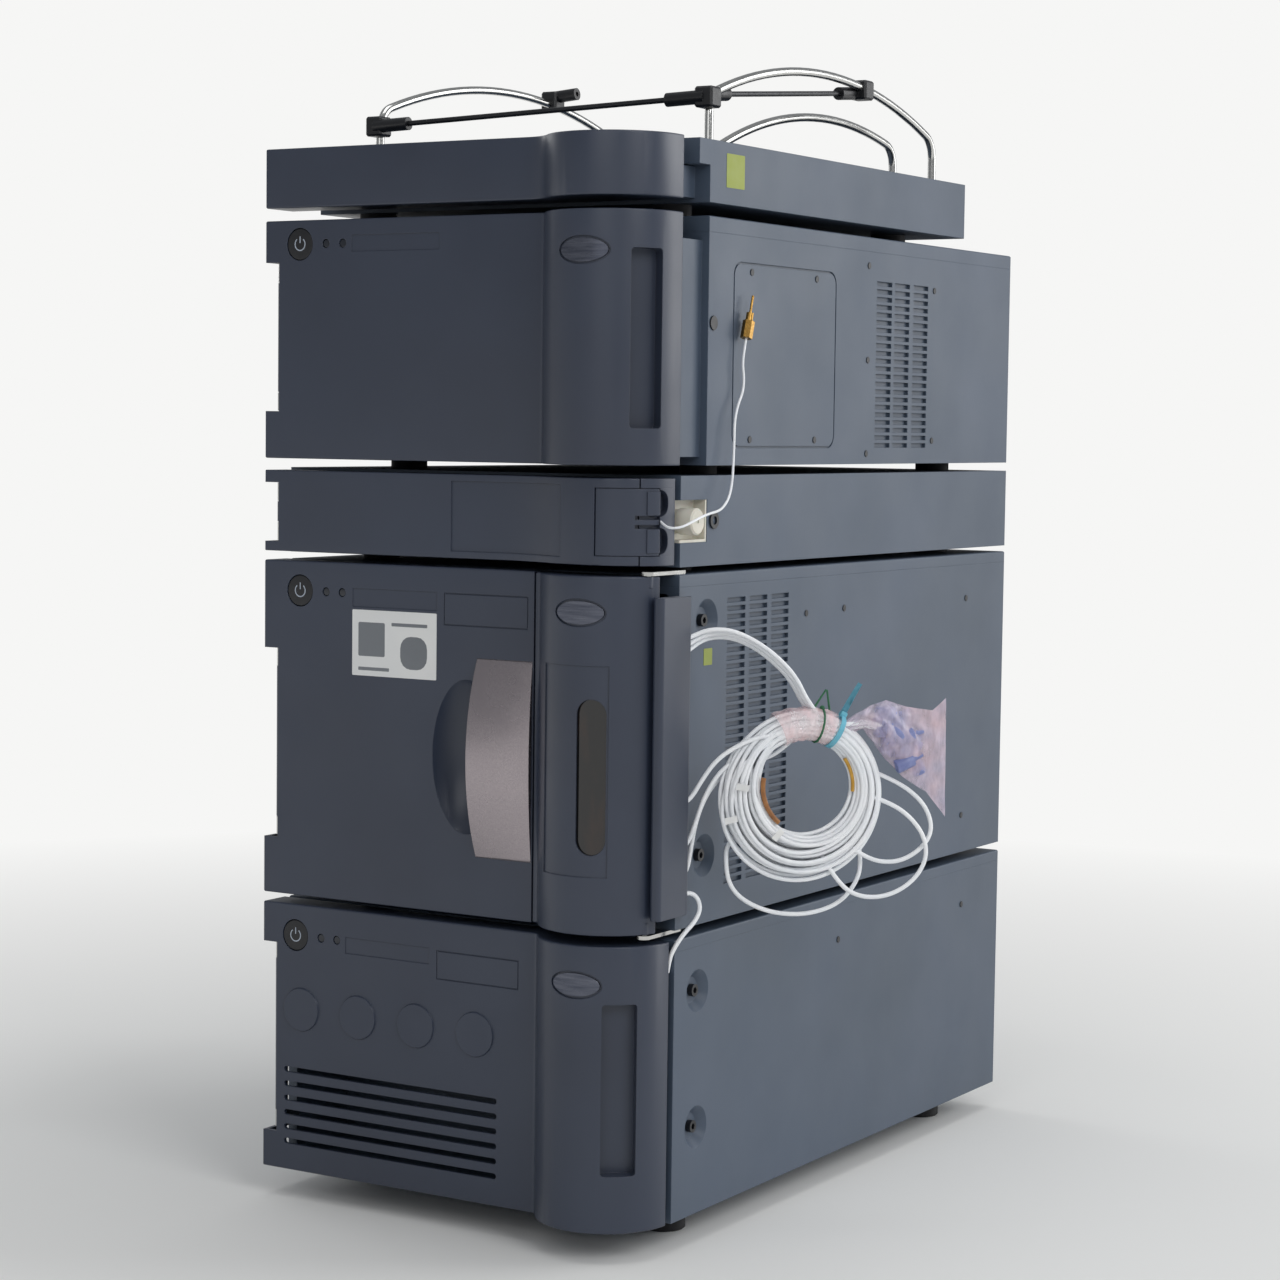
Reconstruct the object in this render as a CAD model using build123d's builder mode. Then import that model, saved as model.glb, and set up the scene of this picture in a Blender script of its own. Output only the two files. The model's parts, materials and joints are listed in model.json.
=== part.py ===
from build123d import *
import os
from math import asin, atan, atan2, cos, degrees, radians, sin, sqrt, tan

# Bench-top liquid chromatography stack: a pump at the bottom, then a sampler, a column oven, a
# diode-array detector and a solvent tray with its rails.
# Millimetres. +Z is up, the doors face -Y, and the origin is on the bench under the middle of the stack.

os.makedirs("parts", exist_ok=True)

# ---------- driving dimensions: casings ----------
cabinet_width = 343.0          # across the front panels and the side panels
casing_depth = 549.0           # front flange to back plate of a casing
sheet = 2.0                    # folded steel of the casings
lid_fold = 1.5                 # outside radius of a lid's folded edges
foot_height = 22.0
foot_radius = 16.0
pump_height = 203.5
sampler_height = 251.5
oven_height = 64.0
detector_height = 175.8
tray_height = 43.8
sampler_gap = 7.0              # pump lid to sampler floor
oven_gap = 5.0
detector_gap = 7.0
tray_gap = 9.2
pump_lip = 9.0                 # rim of each lid, down the sides
sampler_lip = 9.0
detector_lip = 11.3
detector_setback = 35.0        # side panels of the detector behind those of the pump
tray_setback = 20.0            # side of the tray behind that of the pump
tray_notch = 15.0              # lower part of the tray's side, further back
tray_notch_height = 26.0
tray_back_inset = 91.0         # back of the tray in front of the casings' backs
opening_corner = 4.0

# ---------- driving dimensions: doors ----------
door_front = -279.0            # flat face of every door
door_depth = 24.0
door_gap = 7.0                 # between the back of a door and the casing behind it
door_wall = 3.0
edge_round = 1.2               # moulded edges of the doors
bulge_radius = 50.5            # round column at the right of every front
bulge_depth = 24.0             # its axis behind the flat face
bulge_inset = 0.5              # its right side inside the width of the cabinet
bulge_blend = 6.0              # hollow where the flat face runs into it
tray_blend = 30.0              # the same hollow on the tray's front
deep_front_depth = 30.0        # fronts of the detector and the tray reach further back
hinge_inset = 7.0              # hinge axis from the left side of the doors
hinge_depth = 13.0             # hinge axis behind the flat face
hinge_pin_radius = 2.0
hinge_running_clearance = 0.08
knuckle_radius = 4.5
knuckle_length = 14.0
knuckle_gap = 0.5
hinge_notch_width = 12.5       # gap in the left edge of a door round its hinge
pump_notch = (50.0, 195.0)
sampler_notch = (275.0, 418.0)
oven_notch = (498.0, 542.0)
detector_notch = (595.0, 705.0)

# ---------- driving dimensions: what the doors carry ----------
button_radius = 11.6
button_clearance = 0.4
button_travel = 1.5
button_thickness = 4.2
button_inset = 0.3             # face of a button under the face of its door
button_collar = 1.4
button_collar_thickness = 1.6
button_seat_gap = 0.3
light_radius = 3.2
light_clearance = 0.1
light_inset = 0.6
label_depth = 0.6              # bare recesses for names
line_width = 0.8
badge_width = 37.0
badge_height = 16.4
badge_margin = 1.6
badge_depth = 1.6
badge_thickness = 1.2
badge_angle = 4.0
pocket_corner = 2.5
louvre_count = 6
louvre_pitch = 11.0
louvre_height = 4.2
boss_radius = 16.5
boss_pitch = 52.7
boss_rise = 1.4
side_front_width = 101.0       # the sampler's side door and its seam
seam = 1.5                     # gap between the sampler's two doors

# ---------- driving dimensions: side panels ----------
slot_pitch = 6.0
slot_height = 3.5
slot_depth = 2.5
slot_width = 26.5
dimple_radius = 15.5
dimple_depth = 6.0
dimple_taper = 45.0

# ---------- driving dimensions: inside the compartments ----------
compartment_depth = 64.0       # open space behind a door, from the casing's front flange
flange_width = 8.0             # turned-in front edge of a casing
floor_rise = 8.0               # bottom edge of an opening above the casing's floor
head_room = 5.0                # top edge of an opening under the lid's rim
foot_spread = 130.0
foot_inset = 60.0
detector_foot_inset = 95.0
pad_radius = 14.0
pump_head_x = (-70.0, 10.0)
head_z = 110.0
head_block = 48.0
head_block_depth = 26.0
head_radius = 21.0
head_length = 22.0
check_valve_radius = 7.0
check_valve_height = 14.0
valve_block_x = 95.0
valve_block_z = 80.0
valve_block_width = 72.0
valve_block_height = 62.0
valve_block_depth = 20.0
valve_pitch = 30.0
valve_radius = 11.0
valve_length = 26.0
louvre_x = -54.7
louvre_z = 49.5
louvre_length = 193.8
boss_x = -56.3
boss_z = 124.0
pump_button_edge = 30.0        # from the left edge of the doors, as the lights and the labels
pump_button_drop = 23.5        # under the pump's top, as its label, its frame line and its badge
pump_light_edges = (54.0, 68.7)
pump_label = (76.7, 152.9, 32.5, 20.5)
pump_frame = (159.7, 231.7, 42.8, 21.5)
pump_badge_drop = 27.8
pump_grip_angle = 42.0
pump_grip_z = 101.8
pump_grip_width = 25.0
pump_grip_height = 121.6
grip_depth = 12.0
sample_room_depth = 190.0
sampler_grille_columns = (112.6, 145.5, 178.6)
handle_height = 115.0          # middle of the handle above the sampler's floor
sampler_button_edge = 33.0
sampler_button_drop = 22.1
sampler_light_edges = (57.3, 72.1)
sampler_label = (81.9, 157.7, 32.0, 18.5)
sampler_frame = (164.0, 237.0, 42.0, 18.5)
scoop_inset = 57.5             # middle of the scoop from the right edge of the sampler's main door
scoop_radius = 33.0
scoop_depth = 19.0
scoop_height = 124.0
handle_width = 48.5
handle_edge = 0.9              # right edge of the handle inside that of its door
handle_bow = 14.0
handle_wall = 3.4
handle_root = 6.0
handle_length = 144.0
side_door_depth = 14.0
side_door_end = 72.5
side_hinge_inset = 3.2
side_hinge_angle = 63.5
pivot_gap = 0.5
pivot_boss = 8.0
pivot_arm_thickness = 2.6
pivot_arm_lap = 14.0
surround_angle = -2.0
surround_sweep = 64.0
surround_height = 147.4
surround_depth = 0.8
window_angle = 16.0
window_height = 111.0
window_length = 109.0
window_width = 21.6
window_lap = 4.0
window_thickness = 2.0
sampler_badge_drop = 26.0
chase_low = 11.5
chase_height = 225.0
chase_width = 8.6
chase_wall = 1.5
chase_front = -3.0
chase_back = 38.0
chase_corner = 3.4
drawer_left_x = -100.0
drawer_pitch = 106.0
drawer_setback = 6.0
drawer_play = 0.5
drawer_wall = 2.0
drawer_height = 16.0
vial_plate_width = 85.5
vial_plate_length = 127.8
vial_plate_height = 26.0
vial_pitch = 24.0
vial_hole_radius = 8.0
vial_hole_depth = 20.0
sampler_bulkhead_depth = 60.0
valve_x = 118.0
injection_valve_z = 70.0
injection_valve_radius = 24.0
injection_valve_length = 30.0
syringe_x = 112.0
syringe_drop = 64.5            # middle of the syringe under the top of the sampler's opening
syringe_offset = 22.0
syringe_length = 62.0
syringe_radius = 5.0
syringe_bore = 3.6
syringe_clearance = 0.06
plunger_length = 62.0
oven_wall = 10.0
oven_opening_right = 96.0
oven_corner_radius = 41.0
oven_rise = 20.0
oven_blend_run = 90.0
oven_seam_angle = 48.0
oven_solid_end = 12.0
seam_gap_angle = 1.4
panel_left = -2.0
panel_right = 102.0
panel_margin = 5.0
panel_depth = 1.0
latch_start = 6.0
latch_end = 70.0
latch_margin = 7.0
latch_thickness = 3.0
latch_gap = 0.4
latch_tip_gap = 1.2            # degrees between the tip of the latch and its stop
moulding_gap = 0.05            # hairline between the end cap's mouldings
latch_pin_radius = 0.9
latch_pin_reach = 3.0
fork_start = 44.0
fork_pitch = 6.2
fork_slot = 2.6
thumb_start = 56.0
thumb_angle = 68.0
thumb_pitch = 26.2
thumb_height = 16.5
thumb_rise = 1.2
finger_width = 20.0
finger_depth = 8.0
end_cap_rib = 10.0
trough_inset = 8.0
trough_setback = 12.0
trough_height = 22.0
column_radius = 7.0
column_clearance = 0.3
column_length = 150.0
column_nut_length = 12.0
bracket_low = 17.0
bracket_height = 30.0
bracket_length = 37.0
bracket_depth = 12.0
bracket_lip_gap = 0.5
bracket_boss = 4.0
knob_depth = 42.0
knob_radius = 9.5
knob_reach = 8.0
knob_shaft_radius = 3.0
oven_door_margin = 1.8         # the oven door is this much lower than its casing, top and bottom
collar_inset = 6.0
collar_gap = 3.0
detector_room_depth = 60.0
access_width = 156.0
access_height = 130.5
access_middle = 181.0
access_z = 79.0
access_corner = 9.0
access_groove = 1.4
access_recess = 1.2
plug_length = 5.0
plug_radius = 5.0
detector_grille_columns = (342.0, 373.5, 407.0)
detector_grip_angle = 57.5
detector_grip_z = 87.5
detector_grip_width = 24.0
detector_grip_height = 123.5
detector_button_edge = 31.5
detector_button_drop = 17.6
detector_light_edges = (55.6, 70.9)
detector_label = (79.0, 157.5, 23.8, 11.8)
detector_badge_drop = 28.2
flow_cell_x = 40.0
flow_cell_z = 80.0
cell_width = 46.0
cell_height = 60.0
cell_depth = 34.0
lens_radius = 9.0
tray_wall = 3.0
tray_floor = 3.0
tray_neck_width = 318.0
rail_radius = 3.25
rail_spread = 146.0
inner_rail_x = 110.0
rail_front = 107.0             # front legs behind the doors' flat face
rail_back = 475.0
rail_shoulders = (36.2, 34.2)  # above the tray's rim, as every height of the rails and the rods
rail_crown = 69.2
rail_bend = 20.0
inner_rail_setback = 43.0
inner_rail_shoulders = (-8.8, 30.2)
inner_rail_crown = 41.2
inner_rail_bend = 18.0
rod_radius = 2.0
front_rod_rise = (25.2, 34.2)
side_rod_rise = (37.2, 62.2)
side_rod_reach = 350.0         # back end of the side rod behind the doors' flat face
stub_rod_rise = (72.2, 74.2)
stub_rod_length = 24.0
stub_clamp_rise = 69.2
clamp_size = 15.0
sleeve_radius = 5.0
sleeve_length = 24.0
screw_radius = 3.0
arm_width = 6.0
inlet_x = -110.0
inlet_width = 50.0
inlet_height = 28.0
inlet_proud = 3.0

# ---------- driving dimensions: tubing ----------
line_diameter = 3.2
capillary_diameter = 1.8
coil_radius = 41.0
coil_bundle = 12.0
fitting_radius = 4.4
fitting_nut = 13.0
fitting_thread = 6.0
fitting_tip = 13.0
tie_angle = 62.0
tie_gap = 0.3
tie_radius = 1.1
bag_thickness = 18.0
bag_taper = 25.0

# ---------- places worked out from them ----------
half_width = cabinet_width / 2
door_back = door_front + door_depth
casing_front = door_back + door_gap
casing_back = casing_front + casing_depth
deep_front_back = door_front + deep_front_depth
bulge_x = half_width - bulge_inset - bulge_radius
bulge_y = door_front + bulge_depth
hinge_x = -half_width + hinge_inset
sampler_split = half_width - side_front_width
hinge_y = door_front + hinge_depth

pump_base = foot_height
pump_top = pump_base + pump_height
sampler_base = pump_top + sampler_gap
sampler_top = sampler_base + sampler_height
oven_base = sampler_top + oven_gap
oven_top = oven_base + oven_height
detector_base = oven_top + detector_gap
detector_top = detector_base + detector_height
detector_front = casing_front + detector_setback
tray_base = detector_top + tray_gap
tray_top = tray_base + tray_height


# ---------- drawing helpers ----------
def save(builder, name):
    """Label a finished piece and write its STEP file."""
    builder.part.label = name
    export_step(builder.part, f"parts/{name}.step")


def block(low, high, mode=Mode.ADD):
    """Box between two corners, in the current part."""
    middle = tuple((a + b) / 2 for a, b in zip(low, high))
    with Locations(middle):
        Box(*(b - a for a, b in zip(low, high)), mode=mode)


def face_plane(y):
    """Plane across the stack at a depth y, looking out of the front."""
    return Plane.XZ.offset(-y)


def bulge_plane(angle, z, radius=0.0):
    """Plane that looks out of the round column at an angle from the front."""
    outward = Vector(sin(radians(angle)), -cos(radians(angle)), 0)
    across = Vector(cos(radians(angle)), sin(radians(angle)), 0)
    return Plane(Vector(bulge_x, bulge_y, z) + outward * radius, x_dir=across, z_dir=outward)


def front_outline(inset=0.0, back=door_back, blend=bulge_blend):
    """Plan of a front panel: a flat face that runs into a round column at the right."""
    left = -half_width + inset
    front = door_front + inset
    radius = bulge_radius - inset
    join_x = bulge_x - sqrt(radius**2 - (bulge_y - front) ** 2)
    join_angle = degrees(atan2(front - bulge_y, join_x - bulge_x))
    end_angle = degrees(asin(min(0.0, (back - bulge_y) / radius)))
    with BuildSketch() as outline:
        with BuildLine():
            column = CenterArc((bulge_x, bulge_y), radius, join_angle, end_angle - join_angle)
            straight = [(bulge_x + radius, back)] if back > bulge_y else []
            Polyline(column @ 1, *straight, (left, back), (left, front), column @ 0)
        make_face()
        fillet(outline.vertices().sort_by_distance((join_x, front))[0], blend + inset)
    return outline.sketch


def fillet_front_rim(part, back, radius):
    """Round the top and bottom edges of a moulded front, all but those along its back."""
    rim = part.edges().group_by(Axis.Z)[0] + part.edges().group_by(Axis.Z)[-1]
    fillet(rim.filter_by(lambda edge: edge.center().Y < back - 0.1), radius)


def bulge_patch(outline, angle, z, inner, outer):
    """Curved plate over the column: an outline seen along an angle, between two radii."""
    with BuildPart() as patch:
        with BuildSketch(bulge_plane(angle, z, inner / 2)):
            add(outline)
        extrude(amount=bulge_radius)
        with Locations((bulge_x, bulge_y, z)):
            Cylinder(outer, 400, mode=Mode.INTERSECT)
            Cylinder(inner, 400, mode=Mode.SUBTRACT)
    return patch.part


def moulded_door(outline, hollow, base, height, back):
    """Hollow door: an outline raised, rounded along its front rim and opened from behind."""
    with BuildPart() as shell:
        with BuildSketch(Plane.XY.offset(base)):
            add(outline)
        extrude(amount=height)
        fillet_front_rim(shell, back, edge_round)
        with BuildSketch(Plane.XY.offset(base + door_wall)):
            add(hollow)
        extrude(amount=height - 2 * door_wall, mode=Mode.SUBTRACT)
    return shell.part


def cut_hinge_side(low, high, back=door_back):
    """Notch the left edge of a door for its hinge and add the knuckle that turns on the pin."""
    block((-half_width - 1, door_front - 1, low), (-half_width + hinge_notch_width, back + 1, high), Mode.SUBTRACT)
    middle = (low + high) / 2
    length = high - low - 2 * knuckle_length - 2 * knuckle_gap
    with Locations((hinge_x, hinge_y, middle)):
        Cylinder(knuckle_radius, length)
    block(
        (hinge_x, hinge_y - knuckle_radius, middle - length / 2),
        (-half_width + hinge_notch_width + 1, hinge_y - knuckle_radius + door_wall, middle + length / 2),
    )
    block(
        (-half_width + hinge_notch_width - 1, door_front + door_wall / 2, middle - length / 2),
        (-half_width + hinge_notch_width + 2, hinge_y - knuckle_radius + door_wall, middle + length / 2),
    )
    with Locations((hinge_x, hinge_y, middle)):
        Cylinder(hinge_pin_radius + hinge_running_clearance, length + 1, mode=Mode.SUBTRACT)


def front_place(place, top):
    """Sides, bottom and top of a place typed from the left edge of a front and from its module's top."""
    left, right, low, high = place
    return (-half_width + left, -half_width + right, top - low, top - high)


def cut_front_details(button_x, button_z, lights_x, label):
    """Button hole, two light holes and a blank label recess in the flat face of a door."""
    with BuildSketch(face_plane(door_front)) as holes:
        with Locations((button_x, button_z)):
            Circle(button_radius + button_clearance)
        with Locations(*[(x, button_z) for x in lights_x]):
            Circle(light_radius + light_clearance)
    extrude(holes.sketch, amount=-(door_wall + 1), mode=Mode.SUBTRACT)
    left, right, low, high = label
    with BuildSketch(face_plane(door_front)) as recess:
        with Locations(((left + right) / 2, (low + high) / 2)):
            Rectangle(right - left, high - low)
    extrude(recess.sketch, amount=-label_depth, mode=Mode.SUBTRACT)


def cut_frame_line(left, right, low, high):
    """Thin engraved frame round a bare name plate."""
    with BuildSketch(face_plane(door_front)) as frame_line:
        with Locations(((left + right) / 2, (low + high) / 2)):
            Rectangle(right - left, high - low)
            Rectangle(right - left - 2 * line_width, high - low - 2 * line_width, mode=Mode.SUBTRACT)
    extrude(frame_line.sketch, amount=-label_depth, mode=Mode.SUBTRACT)


def badge_outline(margin=0.0):
    """Oval of the plate on the column."""
    with BuildSketch() as oval:
        Ellipse(badge_width / 2 + margin, badge_height / 2 + margin)
    return oval.sketch


def badge_dish(z):
    """Oval hollow in the column that holds the plate."""
    return bulge_patch(badge_outline(badge_margin), badge_angle, z, bulge_radius - badge_depth, bulge_radius + 2)


def badge_plate(z):
    """Blank oval plate that lies in its dish, a little under the surface."""
    return bulge_patch(badge_outline(), badge_angle, z, bulge_radius - badge_depth, bulge_radius - badge_depth + badge_thickness)


def power_button(x, z):
    """Round button with a collar behind the door's face, which it travels towards."""
    with BuildPart() as button:
        with BuildSketch(face_plane(door_front + button_inset)):
            with Locations((x, z)):
                Circle(button_radius)
        extrude(amount=-button_thickness)
        fillet(button.faces().sort_by(Axis.Y)[0].edges(), 0.8)
        with BuildSketch(face_plane(door_front + door_wall + button_seat_gap)):
            with Locations((x, z)):
                Circle(button_radius + button_collar)
        extrude(amount=-button_collar_thickness)
    return button.part


def status_lights(xs, z):
    """Two domed lenses, each with a collar against the back of the door's face."""
    with BuildPart() as lights:
        with BuildSketch(face_plane(door_front + light_inset)):
            with Locations(*[(x, z) for x in xs]):
                Circle(light_radius)
        extrude(amount=-(door_wall - light_inset))
        fillet(lights.edges().group_by(Axis.Y)[0], 0.8)
        with BuildSketch(face_plane(door_front + door_wall)):
            with Locations(*[(x, z) for x in xs]):
                Circle(light_radius + 1.2)
        extrude(amount=-1.5)
    return lights.part


def grip_pocket(angle, z, width, height, depth, mode):
    """Rounded box sunk into the column, for a finger grip."""
    grow = 0 if mode == Mode.SUBTRACT else door_wall
    with BuildSketch(bulge_plane(angle, z, bulge_radius - depth - grow)) as mouth:
        RectangleRounded(width + 2 * grow, height + 2 * grow, pocket_corner + grow)
    reach = depth + grow + (5 if mode == Mode.SUBTRACT else -edge_round * 2)
    extrude(mouth.sketch, amount=reach, mode=mode)


def casing(base, top, lip, front, opening):
    """Casing of a module: solid behind its front compartment, with a step for the lid's rim."""
    low_x, high_x, low_z, high_z, depth = opening
    with BuildPart() as box:
        with BuildSketch(Plane.XY.offset(base)):
            with Locations((0, (front + casing_back) / 2)):
                Rectangle(cabinet_width, casing_back - front)
        extrude(amount=top - lip - base)
        with BuildSketch(Plane.XY.offset(base)):
            with Locations((0, (front + casing_back) / 2)):
                Rectangle(cabinet_width - 2 * sheet, casing_back - front - 2 * sheet)
        extrude(amount=top - sheet - base)
        with BuildSketch(face_plane(front)):
            with Locations(((low_x + high_x) / 2, (low_z + high_z) / 2)):
                RectangleRounded(high_x - low_x, high_z - low_z, opening_corner)
        extrude(amount=-depth, mode=Mode.SUBTRACT)
    return box.part


def casing_lid(top, lip, front):
    """Folded lid: a plate with a rim that stands on the casing's sides."""
    with BuildPart() as pan:
        with BuildSketch(Plane.XY.offset(top - lip)):
            with Locations((0, (front + casing_back) / 2)):
                Rectangle(cabinet_width, casing_back - front)
        extrude(amount=lip)
        fillet(pan.edges().group_by(Axis.Z)[-1], lid_fold)
        with BuildSketch(Plane.XY.offset(top - lip)):
            with Locations((0, (front + casing_back) / 2)):
                Rectangle(cabinet_width - 2 * sheet, casing_back - front - 2 * sheet)
        extrude(amount=lip - sheet, mode=Mode.SUBTRACT)
    return pan.part


def cut_side_grille(columns, low, high):
    """Punched rows of slots in the right side panel."""
    rows = int((high - low) / slot_pitch) + 1
    with BuildSketch(Plane.YZ.offset(half_width)) as slots:
        for middle in columns:
            with Locations((door_front + middle, (low + high) / 2)):
                with GridLocations(slot_width, slot_pitch, 1, rows):
                    Rectangle(slot_width, slot_height)
    extrude(slots.sketch, amount=-slot_depth, mode=Mode.SUBTRACT)


def cut_dimples(places):
    """Round pressed dimples in the right side panel, each with a boss for its screw."""
    with BuildSketch(Plane.YZ.offset(half_width)) as rims:
        with Locations(*[(door_front + depth, z) for depth, z in places]):
            Circle(dimple_radius)
    extrude(rims.sketch, amount=-dimple_depth, taper=dimple_taper, mode=Mode.SUBTRACT)


# ---------- feet and pads ----------
def round_feet(low, height, radius, places):
    """Round rubber feet under a module, in the active part."""
    with BuildSketch(Plane.XY.offset(low)) as feet:
        with Locations(*places):
            Circle(radius)
    extrude(feet.sketch, amount=height)


def corner_places(front, back):
    """Four places under a module, symmetric across it."""
    return [(x, y) for x in (-foot_spread, foot_spread) for y in (front, back)]


casing_corners = corner_places(casing_front + foot_inset, casing_back - foot_inset)
detector_corners = corner_places(casing_front + detector_foot_inset, casing_back - foot_inset)
tray_corners = corner_places(detector_front + pad_radius + 4, casing_back - tray_back_inset - foot_inset)

with BuildPart() as bench_feet:
    round_feet(0, foot_height, foot_radius, casing_corners)
    chamfer(bench_feet.edges().group_by(Axis.Z)[0], 1.0)
save(bench_feet, "bench_feet")

with BuildPart() as stacking_pads:
    round_feet(pump_top, sampler_gap, pad_radius, casing_corners)
    round_feet(sampler_top, oven_gap, pad_radius, casing_corners)
    round_feet(oven_top, detector_gap, pad_radius, detector_corners)
    round_feet(detector_top, tray_gap, pad_radius, tray_corners)
save(stacking_pads, "stacking_pads")

# ---------- pump ----------
pump_opening = (-half_width + flange_width, half_width - flange_width, pump_base + floor_rise, pump_top - pump_lip - head_room, compartment_depth)
with BuildPart() as pump_chassis:
    add(casing(pump_base, pump_top, pump_lip, casing_front, pump_opening))
    cut_dimples([(64.0, pump_base + 162.5), (64.0, pump_base + 63.5)])
save(pump_chassis, "pump_chassis")

with BuildPart() as pump_lid:
    add(casing_lid(pump_top, pump_lip, casing_front))
save(pump_lid, "pump_lid")

pump_button_x = -half_width + pump_button_edge
pump_button_z = pump_top - pump_button_drop
pump_lights_x = [-half_width + edge for edge in pump_light_edges]
pump_badge_z = pump_top - pump_badge_drop
with BuildPart() as pump_door:
    add(moulded_door(front_outline(), front_outline(door_wall, door_back + 1), pump_base, pump_height, door_back))
    cut_hinge_side(*pump_notch)
    cut_front_details(pump_button_x, pump_button_z, pump_lights_x, front_place(pump_label, pump_top))
    cut_frame_line(*front_place(pump_frame, pump_top))
    with BuildSketch(face_plane(door_front - 1)):
        with Locations((louvre_x, pump_base + louvre_z)):
            with GridLocations(louvre_length, louvre_pitch, 1, louvre_count):
                SlotOverall(louvre_length, louvre_height)
    extrude(amount=-(door_wall + 2), mode=Mode.SUBTRACT)
    with BuildSketch(face_plane(door_front)):
        with Locations((boss_x, pump_base + boss_z)):
            with GridLocations(boss_pitch, boss_pitch, 4, 1):
                Circle(boss_radius)
    extrude(amount=boss_rise, taper=20)
    add(badge_dish(pump_badge_z), mode=Mode.SUBTRACT)
    grip_pocket(pump_grip_angle, pump_base + pump_grip_z, pump_grip_width, pump_grip_height, grip_depth, Mode.ADD)
    grip_pocket(pump_grip_angle, pump_base + pump_grip_z, pump_grip_width, pump_grip_height, grip_depth, Mode.SUBTRACT)
save(pump_door, "pump_door")

with BuildPart() as pump_button:
    add(power_button(pump_button_x, pump_button_z))
save(pump_button, "pump_button")

with BuildPart() as pump_lights:
    add(status_lights(pump_lights_x, pump_button_z))
save(pump_lights, "pump_lights")

with BuildPart() as pump_badge:
    add(badge_plate(pump_badge_z))
save(pump_badge, "pump_badge")

compartment_back = casing_front + compartment_depth
with BuildPart() as pump_heads:
    for x in pump_head_x:
        block(
            (x - head_block / 2, compartment_back - head_block_depth, pump_base + head_z - head_block / 2),
            (x + head_block / 2, compartment_back, pump_base + head_z + head_block / 2),
        )
        with BuildSketch(face_plane(compartment_back - head_block_depth)):
            with Locations((x, pump_base + head_z)):
                Circle(head_radius)
        extrude(amount=head_length)
        with BuildSketch(Plane.XY.offset(pump_base + head_z + head_block / 2)):
            with Locations((x, compartment_back - head_block_depth / 2)):
                RegularPolygon(check_valve_radius, 6)
        extrude(amount=check_valve_height)
save(pump_heads, "pump_heads")

with BuildPart() as valve_block:
    block(
        (valve_block_x - valve_block_width / 2, compartment_back - valve_block_depth, pump_base + valve_block_z),
        (valve_block_x + valve_block_width / 2, compartment_back, pump_base + valve_block_z + valve_block_height),
    )
    with BuildSketch(face_plane(compartment_back - valve_block_depth)):
        with Locations((valve_block_x, pump_base + valve_block_z + valve_block_height / 2)):
            with GridLocations(valve_pitch, valve_pitch, 2, 2):
                Circle(valve_radius)
    extrude(amount=valve_length)
save(valve_block, "solvent_valve_block")

# ---------- sampler ----------
sampler_opening_low = sampler_base + floor_rise
sampler_opening_high = sampler_top - sampler_lip - head_room
sampler_opening = (-half_width + flange_width, half_width - flange_width, sampler_opening_low, sampler_opening_high, sample_room_depth)
bulkhead_y = casing_front + sampler_bulkhead_depth
bulkhead_right = half_width - flange_width - opening_corner
with BuildPart() as sampler_chassis:
    add(casing(sampler_base, sampler_top, sampler_lip, casing_front, sampler_opening))
    block((sampler_split, bulkhead_y, sampler_opening_low), (bulkhead_right, bulkhead_y + sheet, sampler_opening_high))
    block((sampler_split, bulkhead_y, sampler_opening_low), (sampler_split + sheet, bulkhead_y + 90, sampler_opening_high))
    cut_side_grille(sampler_grille_columns, sampler_base + 26.5, sampler_base + 230.5)
    cut_dimples([(70.0, sampler_base + 217.5), (70.0, sampler_base + 49.0)])
save(sampler_chassis, "sampler_chassis")

with BuildPart() as sampler_lid:
    add(casing_lid(sampler_top, sampler_lip, casing_front))
save(sampler_lid, "sampler_lid")

sampler_button_x = -half_width + sampler_button_edge
sampler_button_z = sampler_top - sampler_button_drop
sampler_lights_x = [-half_width + edge for edge in sampler_light_edges]
sampler_badge_z = sampler_top - sampler_badge_drop
handle_z = sampler_base + handle_height
scoop_x = sampler_split - scoop_inset
with BuildPart() as sampler_door:
    add(moulded_door(front_outline(), front_outline(door_wall, door_back + 1), sampler_base, sampler_height, door_back))
    block((sampler_split - door_wall, door_front + door_wall / 2, sampler_base + 1), (sampler_split, door_back, sampler_top - 1))
    block((sampler_split, door_front - 60, sampler_base - 1), (half_width, door_back + 1, sampler_top + 1), Mode.SUBTRACT)
    cut_hinge_side(*sampler_notch)
    cut_front_details(sampler_button_x, sampler_button_z, sampler_lights_x, front_place(sampler_label, sampler_top))
    cut_frame_line(*front_place(sampler_frame, sampler_top))
    with BuildSketch(Plane.XY.offset(handle_z - scoop_height / 2)) as liner:
        with Locations((scoop_x, door_front + (scoop_depth + door_wall) / 2)):
            Rectangle(2 * scoop_radius, scoop_depth + door_wall)
    extrude(amount=scoop_height)
    with BuildPart(mode=Mode.PRIVATE) as scoop:
        with BuildSketch(Plane.XZ.offset(-(door_front + scoop_depth - scoop_radius))) as oval:
            with Locations((scoop_x, handle_z)):
                Ellipse(scoop_radius, scoop_height / 2)
            with Locations((scoop_x - scoop_radius, handle_z)):
                Rectangle(2 * scoop_radius, scoop_height + 2, mode=Mode.SUBTRACT)
        revolve(axis=Axis((scoop_x, door_front + scoop_depth - scoop_radius, handle_z), (0, 0, 1)))
    add(scoop.part, mode=Mode.SUBTRACT)
save(sampler_door, "sampler_door")

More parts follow.
